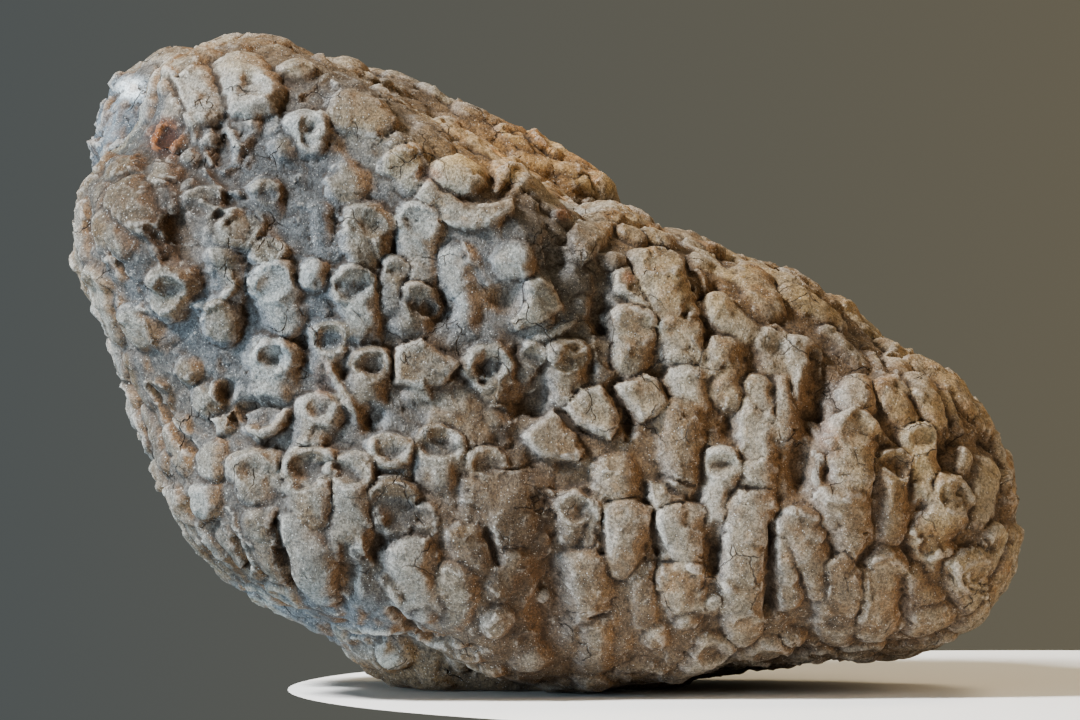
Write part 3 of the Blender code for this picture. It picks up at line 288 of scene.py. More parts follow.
# The fresh, set-back break at the upper left: middle and half-sizes (x, y, z), and where its edge fades
BREAK_MIDDLE = (-72.0, 18.0, 90.0)
BREAK_HALF = (11.0, 26.0, 11.0)
BREAK_EDGE = 1.1
BREAK_FADE = 0.2

# Corallites over the rest of the stone, grown from the root: how many are tried, how far apart they stand,
# their radii and lengths, their shares of both on the broad face, and how many are open and how widely
SCATTER_SEED = 1218
SCATTER_COUNT = 1100
SCATTER_SPREAD = 7.2
SCATTER_RADII = (2.7, 3.9)
SCATTER_LENGTHS = (6.0, 13.0)
FACE_RADIUS = 0.75
FACE_LENGTH = 0.5
OPEN_SHARE = 0.55
OPEN_RADII = (0.45, 0.62)
OPEN_DEPTHS = (0.5, 0.8)
STONE_MIDDLE = Vector((0.0, 4.0, 45.0))
CAST_REACH = 200.0
GROWTH_ROOT = Vector((0.0, 0.0, 4.0))
GROWTH_OUT = 0.5
GROWTH_STRAY = 0.45
TRACK_BEHIND = 0.6
PATH_STEP = 1.6
PATH_LEAP = 9.0
FRONT_LIMIT = -0.35
BASE_CLEAR = 4.0

# The fill between them: how many pieces, how unevenly they lie, their radii and lengths, how far they stand
# out on the broad face and elsewhere, and how far corallites keep from what is already placed
FILL_COUNT = 2700
FILL_STRAY = 0.012
FILL_RADII = (2.0, 3.7)
FILL_LENGTHS = (2.0, 7.0)
FILL_PROUD_FACE = (0.12, 0.4)
FILL_PROUD = (0.3, 0.7)
FILL_CLEAR = 4.2

# Corallites near the foot are worn lower: share of rise there, the foot's height, and over how far it fades
WORN_RISE = 0.75
WORN_FOOT = 14.0
WORN_SPAN = 26.0

# Corallites towards the right stand out more: share of rise there, where that is reached, over how far
BOLD_RISE = 1.22
BOLD_RIGHT = 12.0
BOLD_SPAN = 24.0

# A corallite in shares of its radius: width at the tail and gain towards the mouth, bulges, blunt end,
# ragged outline, rise at the tail and gain towards the mouth if open or closed, roundness of its back
TAIL_WIDTH = 1.08
WIDTH_GAIN = 0.24
BULGE = 0.05
BULGE_TURN = 2.4
BLUNT_END = 0.62
TUBE_RAGGED = 0.17
OPEN_RISE = 0.48
OPEN_GAIN = 0.26
CLOSED_RISE = 0.52
CLOSED_GAIN = 0.12
TUBE_ROUND = 0.6

# The dish in an open mouth: its width in hollows and at most in radii, how far back it sits and how long it
# is in widths, its ragged outline, its depth, and the lip round it
DISH_WIDTH = 1.45
DISH_LIMIT = 0.84
DISH_BACK = 0.4
DISH_LENGTH = 0.88
DISH_RAGGED = 0.28
DISH_EDGE = 1.05
DISH_DEPTH = 0.75
LIP_RISE = 0.16
LIP_PLACE = 1.12
LIP_WIDTH = 0.14

# Knobs and plates: how the listed rise is used, ragged outlines, roundness, a plate's tilt and worn edge
KNOB_RISE = 0.7
KNOB_BASE = 0.9
KNOB_RAGGED = 0.12
KNOB_SPREAD = 1.08
KNOB_ROUND = 0.52
PLATE_RISE = 0.8
PLATE_BASE = 0.7
PLATE_RAGGED = 0.35
PLATE_TILT = 0.06
PLATE_EDGE = 1.3
PLATE_SQUARE = 2.4

# Seams where two forms meet: how evenly high both are, the groove's depth, the size of stretches with one
SEAM_MATCH = 0.28
SEAM_DEPTH = 0.75
SEAM_PATCHES = 6.0

# Lines and hollows: how they fade at their edges, the share of the listed depth that a hollow keeps, and
# which way and how far back the stone may lie to have one
LINE_FADE = 1.25
LINE_RAGGED = 0.3
RING_TURNS = 12
HOLLOW_EDGE = 1.5
HOLLOW_FADE = 1.1
HOLLOW_RAGGED = 0.3
HOLLOW_DEPTH = 0.62
HOLLOW_FACING = 0.15
HOLLOW_BACK = 20.0

# Weathering: size, push and seed of the lumps and of the flakes, everywhere and in the fresh break
LUMPS = ((5.5, 0.3, 1), (2.7, 0.15, 2), (1.3, 0.08, 3), (0.75, 0.06, 4))
FLAKES = ((4.2, 0.32, 5), (2.0, 0.2, 6))
BREAK_STREAKS = (1.5, 0.35, 7)
BREAK_FLAKES = (5.5, 1.3, 8)
STREAK_STRETCH = (1.0, 1.0, 0.22)
FLAKE_TILT = 1.6
LUMP_CELLS = 64
FLAKE_CELLS = 32
FAR_AWAY = 1e9

# Stains seen from in front, partly painted warm, cool and brighter light: x, z, half-widths across and up,
# strength
STAINS_AND_LIGHT = {
    # partly an ochre stain, partly painted warm light on the right and top
    "ochre_and_warm_light": (
        (18, 52, 26, 22, 0.4), (30, 16, 30, 12, 0.15), (64, 42, 22, 38, 0.75), (40, 66, 34, 10, 0.8),
        (-2, 86, 26, 9, 1), (-42, 102, 18, 5, 0.5), (-66, 84, 8, 8, 0.35), (14, 74, 9, 7, 0.7),
        (70, 24, 12, 22, 0.6), (-20, 90, 14, 8, 0.6),
    ),
    # partly slaty grey stone, partly painted cool light on the left
    "slate_and_cool_light": (
        (-45, 70, 34, 30, 0.9), (-10, 62, 26, 16, 0.7), (-38, 40, 34, 24, 0.6), (-68, 90, 12, 14, 1),
        (-40, 12, 26, 8, 0.9), (-66, 40, 8, 30, 0.7),
    ),
    # partly pale chalky stone, partly painted light on the lower left and towards the top
    "chalky_and_lit": (
        (-24, 3, 15, 6, 0.9), (-50, 12, 13, 8, 0.9), (-2, 88, 20, 8, 1), (60, 44, 16, 12, 0.3),
        (-67, 97.6, 3.2, 2.2, 1),
    ),
}
# Stains and painted shade that fade out behind the broad face
FACE_STAINS_AND_SHADE = {
    "rust_and_shade": (
        (-59.2, 87.8, 3.2, 3.4, 1), (-18.5, 82, 2.4, 1.3, 0.6), (12, 66, 1.2, 1.2, 0.7),
        (2, 76, 1.4, 1.2, 0.6), (-34.6, 50, 1.6, 4, 0.4), (42.5, 41, 2, 3, 0.3),
    ),
    # brown in the hollows: partly stain, partly painted shade
    "umber_and_shade": (
        (-57, 74, 6, 10, 0.9), (0, 13.5, 5, 9, 0.9), (43.5, 44, 5, 9, 0.8), (39, 35, 5, 9, 0.9),
        (-20, 52, 9, 6, 0.8), (-7, 63, 5, 5, 0.6), (-6, 30, 9, 9, 0.6), (50, 25, 12, 10, 0.6),
        (-16, 28, 4, 9, 0.8), (8, 10, 14, 9, 0.5), (-64, 76, 5, 6, 0.6), (54, 12, 6, 8, 0.6),
    ),
    # painted shade: broad darkening of parts of the broad face
    "broad_shade": (
        (-60, 78, 14, 15, 1), (-42, 80, 10, 8, 0.3), (-38, 28, 20, 12, 0.55), (-6, 18, 14, 18, 0.6),
        (-12, 50, 12, 10, 0.3), (30, 18, 20, 14, 0.2), (-62, 46, 10, 16, 0.45),
    ),
}
PATCH_EDGE = 1.3
PATCH_FADE = 0.9
FACE_BACK = 14.0
FACE_FADE = 16.0

# What the material reads: how high coral stands above the darker matrix, whose colour is partly painted
# shade in the low ground between the corallites, and the width of edges, relief and flanks, which carry
# painted shade and highlights
CORAL_FROM = 0.8
CORAL_FADE = 1.1
EDGE_ROUNDS = 4
RELIEF_ROUNDS = 60
FLANK_ROUNDS = 3

# Lights: azimuth and elevation in degrees, distance and size in metres, power in watts, colour
LIGHTS = {
    "key": (-62.0, 42.0, 0.75, 0.12, 21.5, (0.95, 0.97, 1.0)),
    "fill": (60.0, 24.0, 0.85, 0.5, 3.3, (1.0, 0.78, 0.52)),
    "cool": (-58.0, -10.0, 0.8, 0.4, 19.0, (0.6, 0.8, 1.0)),
    "rim": (140.0, 52.0, 0.8, 0.3, 3.6, (1.0, 0.82, 0.55)),
}
LIGHT_AIM = Vector((0.0, 0.0, 0.05))

# The studio: backdrop colours at the left and right of the view, how far apart and how strong, and the floor
BACKDROP = ("7f8686", "9f977f")
BACKDROP_REACH = 0.09
BACKDROP_STRENGTH = 0.4
FLOOR_RADIUS = 0.13
FLOOR_PLACE = (0.088, 0.0, -0.0002)
FLOOR_COLOUR = (0.86, 0.84, 0.8, 1.0)

# What the camera sees across at the plan, in millimetres, and its clipping in metres
VIEW_WIDTH = 172.8
CLIP_START = 0.05
CLIP_END = 20.0


def smooth_step(value):
    value = np.clip(value, 0.0, 1.0)
    return value * value * (3.0 - 2.0 * value)


def rim_rows(lobe):
    """Angle, reach and depth of the rim round the lobe's centre, sorted by angle and closed."""
    cx, _, cz = lobe["centre"]
    rows = sorted((math.atan2(z - cz, x - cx), math.hypot(x - cx, z - cz), y) for x, z, y in lobe["rim"])
    turn = (2.0 * math.pi, 0.0, 0.0)
    rows = np.array(rows)
    return np.concatenate((rows[-2:] - turn, rows, rows[:2] + turn)).T


def lobe_points(lobe, directions):
    """Where the lobe's surface lies in each direction: a boxy dome in front of its rim, and one behind."""
    angles, reaches, depths = rim_rows(lobe)
    cx, cy, cz = lobe["centre"]
    angle = np.arctan2(directions[:, 2], directions[:, 0])
    reach = np.interp(angle, angles, reaches) - FINGER_RISE
    depth = np.interp(angle, angles, depths)
    power = 2.0 / lobe["boxiness"]
    across = np.hypot(directions[:, 0], directions[:, 2]) ** power
    along = np.abs(directions[:, 1]) ** power
    swell = np.where(directions[:, 1] < 0.0, -lobe["front"], lobe["back"])
    x = cx + reach * across * np.cos(angle)
    z = cz + reach * across * np.sin(angle)
    y = cy * (1.0 - across) + depth * across + swell * along
    return np.stack((x, y, z), axis=1)


def roughen(points, directions, size, amount, seed):
    """Push points out and in by smooth noise of one size."""
    offset = Vector([seed * stride for stride in WAVE_STRIDE])
    push = np.array([noise.noise(Vector(p) / size + offset) for p in points])
    return points + directions * (push * amount)[:, None]


def unit_sphere(steps):
    """Points and faces of an icosphere of radius 1."""
    sphere = bmesh.new()
    bmesh.ops.create_icosphere(sphere, subdivisions=steps, radius=1.0)
    points = np.array([v.co.normalized() for v in sphere.verts])
    faces = [tuple(v.index for v in f.verts) for f in sphere.faces]
    sphere.free()
    return points, faces


def bare_lobes():
    """Points and faces of the three lobes before anything stands on them, each closed in itself."""
    directions, ball = unit_sphere(LOBE_STEPS)
    points, faces = [], []
    for seed, lobe in enumerate((NEAR_LOBE, FAR_LOBE, UNDER_LOBE)):
        own = lobe_points(lobe, directions)
        for wave, (size, amount) in enumerate(LOBE_WAVES):
            own = roughen(own, directions, size, amount, seed * 3 + wave)
        start = len(points)
        points += [tuple(p) for p in own]
        faces += [tuple(start + i for i in face) for face in ball]
    return points, faces


def evaluated(guide, kind, **settings):
    """The mesh that one modifier makes of an object, which is then removed."""
    bpy.context.scene.collection.objects.link(guide)
    modifier = guide.modifiers.new("shape", kind)
    for name, value in settings.items():
        setattr(modifier, name, value)
    graph = bpy.context.evaluated_depsgraph_get()
    result = bpy.data.meshes.new_from_object(guide.evaluated_get(graph))
    bpy.data.objects.remove(guide)
    return result


def fused(points, faces, size):
    """One fused surface of closed shapes that run into each other."""
    mesh = bpy.data.meshes.new("fused")
    mesh.from_pydata(points, [], faces)
    mesh.update()
    return evaluated(bpy.data.objects.new("fused", mesh), "REMESH", mode="VOXEL", voxel_size=size)


def read(items, name, width, kind=float):
    """One property of a mesh's vertices or edges, a row to each."""
    values = np.empty(len(items) * width, dtype=kind)
    items.foreach_get(name, values)
    return values.reshape(-1, width)


def mesh_points(mesh):
    return read(mesh.vertices, "co", 3)


def mesh_normals(mesh):
    return read(mesh.vertex_normals, "vector", 3)


def relax(points, edges, rounds):
    """Points moved towards the mean of their neighbours, halfway in each round."""
    count = len(points)
    degree = np.bincount(edges.ravel(), minlength=count).astype(float)
    smooth = points.copy()
    for _ in range(rounds):
        mean = np.empty_like(smooth)
        for axis in range(smooth.shape[1]):
            mean[:, axis] = np.bincount(edges[:, 0], smooth[edges[:, 1], axis], count)
            mean[:, axis] += np.bincount(edges[:, 1], smooth[edges[:, 0], axis], count)
        mean /= np.maximum(degree, 1.0)[:, None]
        smooth += (mean - smooth) * 0.5
    return smooth


def lattice_noise(points, size, seed):
    """Smooth value noise between -1 and 1 at points, of one size."""
    table = np.random.default_rng(seed).uniform(-1.0, 1.0, (LUMP_CELLS,) * 3)
    place = points / size + 1000.0
    low = np.floor(place).astype(np.int64)
    part = smooth_step(place - low)
    total = np.zeros(len(points))
    for corner in itertools.product((0, 1), repeat=3):
        weight = np.abs(1 - corner[0] - part[:, 0])
        weight = weight * np.abs(1 - corner[1] - part[:, 1]) * np.abs(1 - corner[2] - part[:, 2])
        index = (low + corner) % LUMP_CELLS
        total += weight * table[index[:, 0], index[:, 1], index[:, 2]]
    return total


def flakes(points, size, seed):
    """A broken, flaky relief: every cell of a scatter of points has a step and a tilt of its own."""
    table = np.random.default_rng(seed).uniform(0.0, 1.0, (FLAKE_CELLS,) * 3 + (7,))
    low = np.floor(points / size).astype(np.int64)
    best = np.full(len(points), FAR_AWAY)
    value = np.zeros(len(points))
    for step in itertools.product((-1, 0, 1), repeat=3):
        cell = low + step
        index = cell % FLAKE_CELLS
        row = table[index[:, 0], index[:, 1], index[:, 2]]
        offset = points / size - cell - row[:, :3]
        away = (offset * offset).sum(axis=1)
        own = (row[:, 3] - 0.5) + ((row[:, 4:] - 0.5) * offset).sum(axis=1) * FLAKE_TILT
        closer = away < best
        best = np.where(closer, away, best)
        value = np.where(closer, own, value)
    return value


def ray_to_skin(tree, x, z):
    """The first point of the stone on the line of sight through (x, z) of the plan, and its normal."""
    aim = Vector((x, PLAN_Y, z))
    hit, normal, _, _ = tree.ray_cast(SIGHT, (aim - SIGHT).normalized())
    if hit is None:
        hit, normal, _, _ = tree.find_nearest(aim)
    return hit, normal


def base_under(tree, x, z, rise):
    """Where on the stone a form of some rise stands, for its top to be seen at (x, z) of the plan."""
    _, normal = ray_to_skin(tree, x, z)
    return ray_to_skin(tree, x - normal.x * rise, z - normal.z * rise)[0]


def steady_normal(tree, place, reach):
    """The stone's normal averaged over a small ring round a place on it."""
    total = Vector()
    for turn in range(6):
        angle = turn * math.pi / 3.0
        near = place + Vector((math.cos(angle), 0.0, math.sin(angle))) * reach
        total += tree.find_nearest(near)[1]
    return total.normalized()


def standing(tree, centre, rise, reach):
    """Where a form stands on the stone, the way out of it, and the ways across and up along it."""
    place = base_under(tree, *centre, rise)
    normal = steady_normal(tree, place, reach)
    across = (Vector((1.0, 0.0, 0.0)) - normal * normal.x).normalized()
    return place, normal, across, normal.cross(across)


class Skin:
    """The bare limestone, with the height of everything that stands on it."""

    CELL = 4.0
    KEY = 4096
    BLEND = 0.5
    BLEND_FROM = 0.8
    ROUNDS = 6
    OUT_ROUNDS = 25

    def __init__(self, mesh):
        self.edges = read(mesh.edges, "vertices", 2, np.int64)
        self.points = relax(mesh_points(mesh), self.edges, self.ROUNDS)
        out = relax(mesh_normals(mesh), self.edges, self.OUT_ROUNDS)
        self.out = out / np.linalg.norm(out, axis=1)[:, None]
        self.height, self.second, self.tint = np.zeros((3, len(self.points)))
        self.ragged = lattice_noise(self.points, 3.6, 21) * 0.6 + lattice_noise(self.points, 1.7, 22) * 0.4
        keys = self.key(*np.floor(self.points / self.CELL).astype(np.int64).T)
        order = np.argsort(keys, kind="stable")
        marks, starts = np.unique(keys[order], return_index=True)
        self.cells = dict(zip(marks.tolist(), np.split(order, starts[1:])))

    def key(self, i, j, k):
        return (i * self.KEY + j) * self.KEY + k

    def near(self, low, high):
        """The points in the cells that a box touches."""
        low = np.floor(np.array(low) / self.CELL).astype(int)
        high = np.floor(np.array(high) / self.CELL).astype(int)
        found = []
        for cell in itertools.product(*(range(a, b + 1) for a, b in zip(low, high))):
            part = self.cells.get(self.key(*cell))
            if part is not None:
                found.append(part)
        return np.concatenate(found) if found else np.empty(0, dtype=np.int64)

    def around(self, place, reach):
        """The points about a place, and their offsets from it."""
        place = np.array(place)
        index = self.near(place - reach, place + reach)
        return index, self.points[index] - place

    def lay(self, index, heights, tint):
        """Let a shape stand on the skin: the highest shows, and the next highest is kept for the crease."""
        old = self.height[index]
        higher = heights > old
        self.second[index] = np.where(higher, old, np.maximum(self.second[index], heights))
        meet = np.maximum(self.BLEND - np.abs(heights - old), 0.0) ** 2 / (4.0 * self.BLEND)
        meet *= smooth_step(np.minimum(heights, old) / self.BLEND_FROM)
        self.height[index] = np.where(higher, heights, old) + meet
        self.tint[index] = np.where(higher, tint, self.tint[index])


def to_track(spots, track):
    """Distance of spots from a track, how far along it and past its end they lie, and its length."""
    reach = np.full(len(spots), FAR_AWAY)
    along = np.zeros(len(spots))
    past = np.zeros(len(spots))
    start = 0.0
    for i, (a, b) in enumerate(zip(track[:-1], track[1:])):
        run = b - a
        length = np.linalg.norm(run)
        t = (spots - a) @ run / (length * length)
        over = np.maximum(t - 1.0, 0.0) * length if i == len(track) - 2 else np.zeros(len(spots))
        t = np.where(over > 0.0, t, np.clip(t, 0.0, 1.0))
        away = np.linalg.norm(spots - a - t[:, None] * run, axis=1)
        closer = np.hypot(away, over) < np.hypot(reach, past)
        reach = np.where(closer, away, reach)
        along = np.where(closer, start + np.minimum(t, 1.0) * length, along)
        past = np.where(closer, over, past)
        start += length
    return reach, along, past, start


def lay_finger(skin, track, radius, hollow, depth, rng, proud=1.0):
    """A half-sunk, knobbly tube that rises to a blunt mouth, with a worn dish in it where it is open."""
    track = np.array([list(p) for p in track])
    index = skin.near(track.min(0) - radius * 1.5, track.max(0) + radius * 1.5)
    if not len(index):
        return
    reach, along, past, length = to_track(skin.points[index], track)
    share = along / length
    bulges = 1.0 + BULGE * np.sin(along * BULGE_TURN + rng.uniform(0.0, 6.0))
    width = radius * (TAIL_WIDTH + WIDTH_GAIN * share) * bulges
    out = np.hypot(reach / width, past / (width * BLUNT_END)) * (1.0 + TUBE_RAGGED * skin.ragged[index])
    inside = out < 1.0
    parts = (index, out, share, along, reach, past)
    index, out, share, along, reach, past = (part[inside] for part in parts)
    rise = OPEN_RISE + OPEN_GAIN * share ** 1.5 if hollow > 0.0 else CLOSED_RISE + CLOSED_GAIN * share
    heights = radius * rise * proud * (1.0 - out * out) ** TUBE_ROUND
    if hollow > 0.0:
        bowl = min(hollow * DISH_WIDTH, radius * DISH_LIMIT)
        dish = np.hypot(reach / bowl, (along + past - length + bowl * DISH_BACK) / (bowl * DISH_LENGTH))
        dish += skin.ragged[index] * DISH_RAGGED
        lip = LIP_RISE * np.exp(-(((dish - LIP_PLACE) / LIP_WIDTH) ** 2))
        heights += lip - depth * DISH_DEPTH * np.clip(DISH_EDGE - dish * dish, 0.0, 1.0)
    skin.lay(index, heights, rng.uniform(-1.0, 1.0))


def lay_knob(skin, tree, centre, half_width, half_height, rise, rng):
    place, normal, across, up = standing(tree, centre, rise, 3.0)
    reach = max(half_width, half_height) * 1.5
    index, offset = skin.around(place, reach)
    out = np.hypot(offset @ np.array(across) / half_width, offset @ np.array(up) / half_height)
    out = out * (1.0 + KNOB_RAGGED * skin.ragged[index]) / KNOB_SPREAD
    inside = (out < 1.0) & (np.abs(offset @ np.array(normal)) < reach)
    heights = (rise * KNOB_RISE + KNOB_BASE) * (1.0 - out[inside] ** 2) ** KNOB_ROUND
    skin.lay(index[inside], heights, rng.uniform(-1.0, 1.0))


def lay_plate(skin, tree, corners, rise, rng):
    """A broken block with a flat top, a little tilted, and a worn edge."""
    middle = sum((Vector(c) for c in corners), Vector((0.0, 0.0))) / len(corners)
    place, normal, across, up = standing(tree, middle, rise, 4.0)
    flat_rows = np.array((across, up))
    top = place + normal * rise
    outline = []
    for x, z in corners:
        ray = (Vector((x, PLAN_Y, z)) - SIGHT).normalized()
        spot = SIGHT + ray * ((top - SIGHT).dot(normal) / ray.dot(normal))
        outline.append(flat_rows @ np.array(spot - top))
    outline = np.array(outline)
    reach = np.abs(outline).max() * 1.6
    index, offset = skin.around(place, reach)
    level = np.abs(offset @ np.array(normal)) < reach
    index, flat = index[level], offset[level] @ flat_rows.T
    depth = inset_of(flat, outline) + skin.ragged[index] * PLATE_RAGGED
    inside = depth > 0.0
    index, flat, depth = index[inside], flat[inside], depth[inside]
    tilt = flat @ np.array((rng.uniform(-PLATE_TILT, PLATE_TILT), rng.uniform(-PLATE_TILT, PLATE_TILT)))
    edge = (1.0 - (1.0 - np.minimum(depth / PLATE_EDGE, 1.0)) ** PLATE_SQUARE) ** 0.5
    skin.lay(index, (rise * PLATE_RISE + PLATE_BASE + tilt) * edge, rng.uniform(-1.0, 0.1))


def inset_of(spots, outline):
    """How far inside a polygon each spot lies, below nought outside it."""
    away = np.full(len(spots), FAR_AWAY)
    inside = np.zeros(len(spots), dtype=bool)
    for a, b in zip(outline, np.roll(outline, -1, axis=0)):
        run = b - a
        t = np.clip((spots - a) @ run / (run @ run), 0.0, 1.0)
        away = np.minimum(away, np.linalg.norm(spots - a - t[:, None] * run, axis=1))
        spans = (a[1] > spots[:, 1]) != (b[1] > spots[:, 1])
        rise = run[1] if run[1] else 1e-9
        inside ^= spans & (spots[:, 0] < a[0] + run[0] * (spots[:, 1] - a[1]) / rise)
    return np.where(inside, away, -away)


def draw_line(skin, tree, corners, half_width, rise):
    """Raise a narrow lip along a line on the face, or sink a crack where the rise is below nought."""
    track = np.array([list(ray_to_skin(tree, *corner)[0]) for corner in corners])
    index = skin.near(track.min(0) - half_width * 2.0, track.max(0) + half_width * 2.0)
    reach, _, past, _ = to_track(skin.points[index], track)
    out = np.hypot(reach, past) / (half_width * (1.0 + LINE_RAGGED * skin.ragged[index]))
    skin.height[index] += rise * smooth_step(LINE_FADE - out)


def draw_ring(skin, tree, x, z, radius, half_width, rise):
    angles = [2.0 * math.pi * turn / RING_TURNS for turn in range(RING_TURNS + 1)]
    corners = [(x + radius * math.cos(angle), z + radius * math.sin(angle)) for angle in angles]
    draw_line(skin, tree, corners, half_width, rise)


def sink_hollows(skin):
    """Sink the uneven gaps of the plan into what is seen of the broad face."""
    sight = np.array(SIGHT)
    reach = (PLAN_Y - sight[1]) / (skin.points[:, 1] - sight[1])
    plan_x = sight[0] + (skin.points[:, 0] - sight[0]) * reach
    plan_z = sight[2] + (skin.points[:, 2] - sight[2]) * reach
    facing = (skin.out[:, 1] < HOLLOW_FACING) & (skin.points[:, 1] < HOLLOW_BACK)
    for x, z, half_width, half_height, depth in HOLLOWS:
        out = np.hypot((plan_x - x) / half_width, (plan_z - z) / half_height) + skin.ragged * HOLLOW_RAGGED
        skin.height -= facing * smooth_step((HOLLOW_EDGE - out) / HOLLOW_FADE) * depth * HOLLOW_DEPTH


def front_fingers(tree):
    """Track, radius and hollow of every corallite on the broad face."""
    rows = []
    for mouth_x, mouth_z, tail_x, tail_z, radius, *opening in FRONT_FINGERS:
        mouth, tail = Vector((mouth_x, mouth_z)), Vector((tail_x, tail_z))
        hollow, depth = opening or (0.0, 0.0)
        steps = max(2, round((mouth - tail).length / PATH_STEP))
        track = []
        for step in range(steps + 1):
            place = base_under(tree, *tail.lerp(mouth, step / steps), radius * 0.5)
            if track and (place - track[-1]).length > PATH_LEAP:
                track = []
            track.append(place)
        if len(track) > 1:
            rows.append((track, radius, hollow, depth))
    return rows


def sphere_directions(count):
    """Directions spread evenly over a sphere."""
    golden = math.pi * (3.0 - math.sqrt(5.0))
    for i in range(count):
        height = 1.0 - 2.0 * (i + 0.5) / count
        ring = math.sqrt(1.0 - height * height)
        yield Vector((ring * math.cos(golden * i), ring * math.sin(golden * i), height))


def grown_track(tree, hit, normal, length, rng):
    """A track on the skin that climbs up and away from the root of the coral head."""
    grow = (hit - GROWTH_ROOT).normalized() * GROWTH_OUT + Vector((0.0, 0.0, 1.0))
    grow += Vector([rng.uniform(-GROWTH_STRAY, GROWTH_STRAY) for _ in range(3)])
    grow = (grow - normal * grow.dot(normal)).normalized()
    steps = max(2, round(length / PATH_STEP))
    shares = (TRACK_BEHIND - step / steps for step in range(steps + 1))
    return [tree.find_nearest(hit - grow * (length * share))[0] for share in shares]


def break_share(points):
    """How far each point lies in the fresh break."""
    out = np.linalg.norm((points - np.array(BREAK_MIDDLE)) / np.array(BREAK_HALF), axis=1)
    return smooth_step((BREAK_EDGE - out) / BREAK_FADE)


def in_break(spot):
    return break_share(np.array([list(spot)]))[0] > 0.5


def is_bare(spot):
    """Whether a place is on the fresh break or in one of the bare patches of the face."""
    if in_break(spot):
        return True
    if spot.y > BARE_BACK:
        return False
    return any(math.hypot((spot.x - x) / wide, (spot.z - z) / high) < 1.0 for x, z, wide, high in BARE)


def scatter_fingers(tree, rng, placed):
    """Corallites over the rest of the stone, grown up and out from the root and spaced apart."""
    rows, taken = [], []
    filled = [point for track, *_ in placed for point in track]
    filled += [ray_to_skin(tree, *row[:2])[0] for row in KNOBS + HOLLOWS]
    filled += [ray_to_skin(tree, *corner)[0] for corners, _ in PLATES for corner in corners]
    for direction in sphere_directions(SCATTER_COUNT):
        hit, normal, _, _ = tree.ray_cast(STONE_MIDDLE + direction * CAST_REACH, -direction)
        if hit is None or hit.z < BASE_CLEAR or in_break(hit):
            continue
        if any((hit - other).length < FILL_CLEAR for other in filled):
            continue
        if any((hit - other).length < SCATTER_SPREAD for other in taken):
            continue
        taken.append(hit)
        radius = rng.uniform(*SCATTER_RADII)
        length = rng.uniform(*SCATTER_LENGTHS)
        if normal.y < FRONT_LIMIT:
            radius, length = radius * FACE_RADIUS, length * FACE_LENGTH
        track = grown_track(tree, hit, normal, length, rng)
        hollow = radius * rng.uniform(*OPEN_RADII) if rng.random() < OPEN_SHARE else 0.0
        rows.append((track, radius, hollow, hollow * rng.uniform(*OPEN_DEPTHS)))
    return rows


def lay_fill(skin, tree, rng):
    """Small lumps and broken pieces of coral and shell, packed into what is left between the corallites."""
    for direction in sphere_directions(FILL_COUNT):
        direction += Vector([rng.uniform(-FILL_STRAY, FILL_STRAY) for _ in range(3)])
        hit, normal, _, _ = tree.ray_cast(STONE_MIDDLE + direction * CAST_REACH, -direction)
        if hit is None or is_bare(hit):
            continue
        radius = rng.uniform(*FILL_RADII)
        track = grown_track(tree, hit, normal, rng.uniform(*FILL_LENGTHS), rng)
        proud = rng.uniform(*(FILL_PROUD_FACE if normal.y < FRONT_LIMIT else FILL_PROUD))
        lay_finger(skin, track, radius, 0.0, 0.0, rng, proud)


def eased(start, share):
    """From start to 1, as a share goes from 0 to 1."""
    return start + (1.0 - start) * min(1.0, max(0.0, share))


def lay_forms(skin, tree, rng):
    """Everything that stands on the limestone, from the fill up to the plates."""
    lay_fill(skin, tree, rng)
    fingers = front_fingers(tree)
    fingers += scatter_fingers(tree, rng, fingers)
    for track, radius, hollow, depth in fingers:
        worn = eased(WORN_RISE, (track[-1].z - WORN_FOOT) / WORN_SPAN)
        bold = eased(BOLD_RISE, (BOLD_RIGHT - track[-1].x) / BOLD_SPAN)
        lay_finger(skin, track, radius, hollow, depth, rng, worn * bold)
    for x, z, half_width, half_height, rise in KNOBS:
        lay_knob(skin, tree, (x, z), half_width, half_height, rise, rng)
    for corners, rise in PLATES:
        lay_plate(skin, tree, corners, rise, rng)


def cut_seams(skin):
    """Groove the seams where two forms meet, and say where they are."""
    seam = np.exp(-np.abs(skin.height - skin.second) / SEAM_MATCH) * smooth_step((skin.second - 0.1) / 0.9)
    seam *= smooth_step((lattice_noise(skin.points, SEAM_PATCHES, 23) + 0.75) / 0.6)
    skin.height -= seam * SEAM_DEPTH
    return seam


def draw_details(skin, tree):
    """Lips, cracks, rims and hollows of the broad face."""
    for corners, half_width, rise in RIDGES:
        draw_line(skin, tree, corners, half_width, rise)
    for corners, half_width, depth in CRACKS:
        draw_line(skin, tree, corners, half_width, -depth)
    for ring in RINGS:
        draw_ring(skin, tree, *ring)
    sink_hollows(skin)


def weather(points, normals):
    """Knobbly, flaky and pitted weathering of the whole surface, and a rougher one in the fresh break."""
    push = sum(lattice_noise(points, size, seed) * amount for size, amount, seed in LUMPS)
    push += sum(flakes(points, size, seed) * amount for size, amount, seed in FLAKES)
    size, amount, seed = BREAK_STREAKS
    upright = lattice_noise(points * STREAK_STRETCH, size, seed) * amount
    size, amount, seed = BREAK_FLAKES
    upright += flakes(points, size, seed) * amount
    push += break_share(points) * upright
    return points + normals * push[:, None]


def move_points(mesh, points):
    mesh.vertices.foreach_set("co", points.ravel())
    mesh.update()


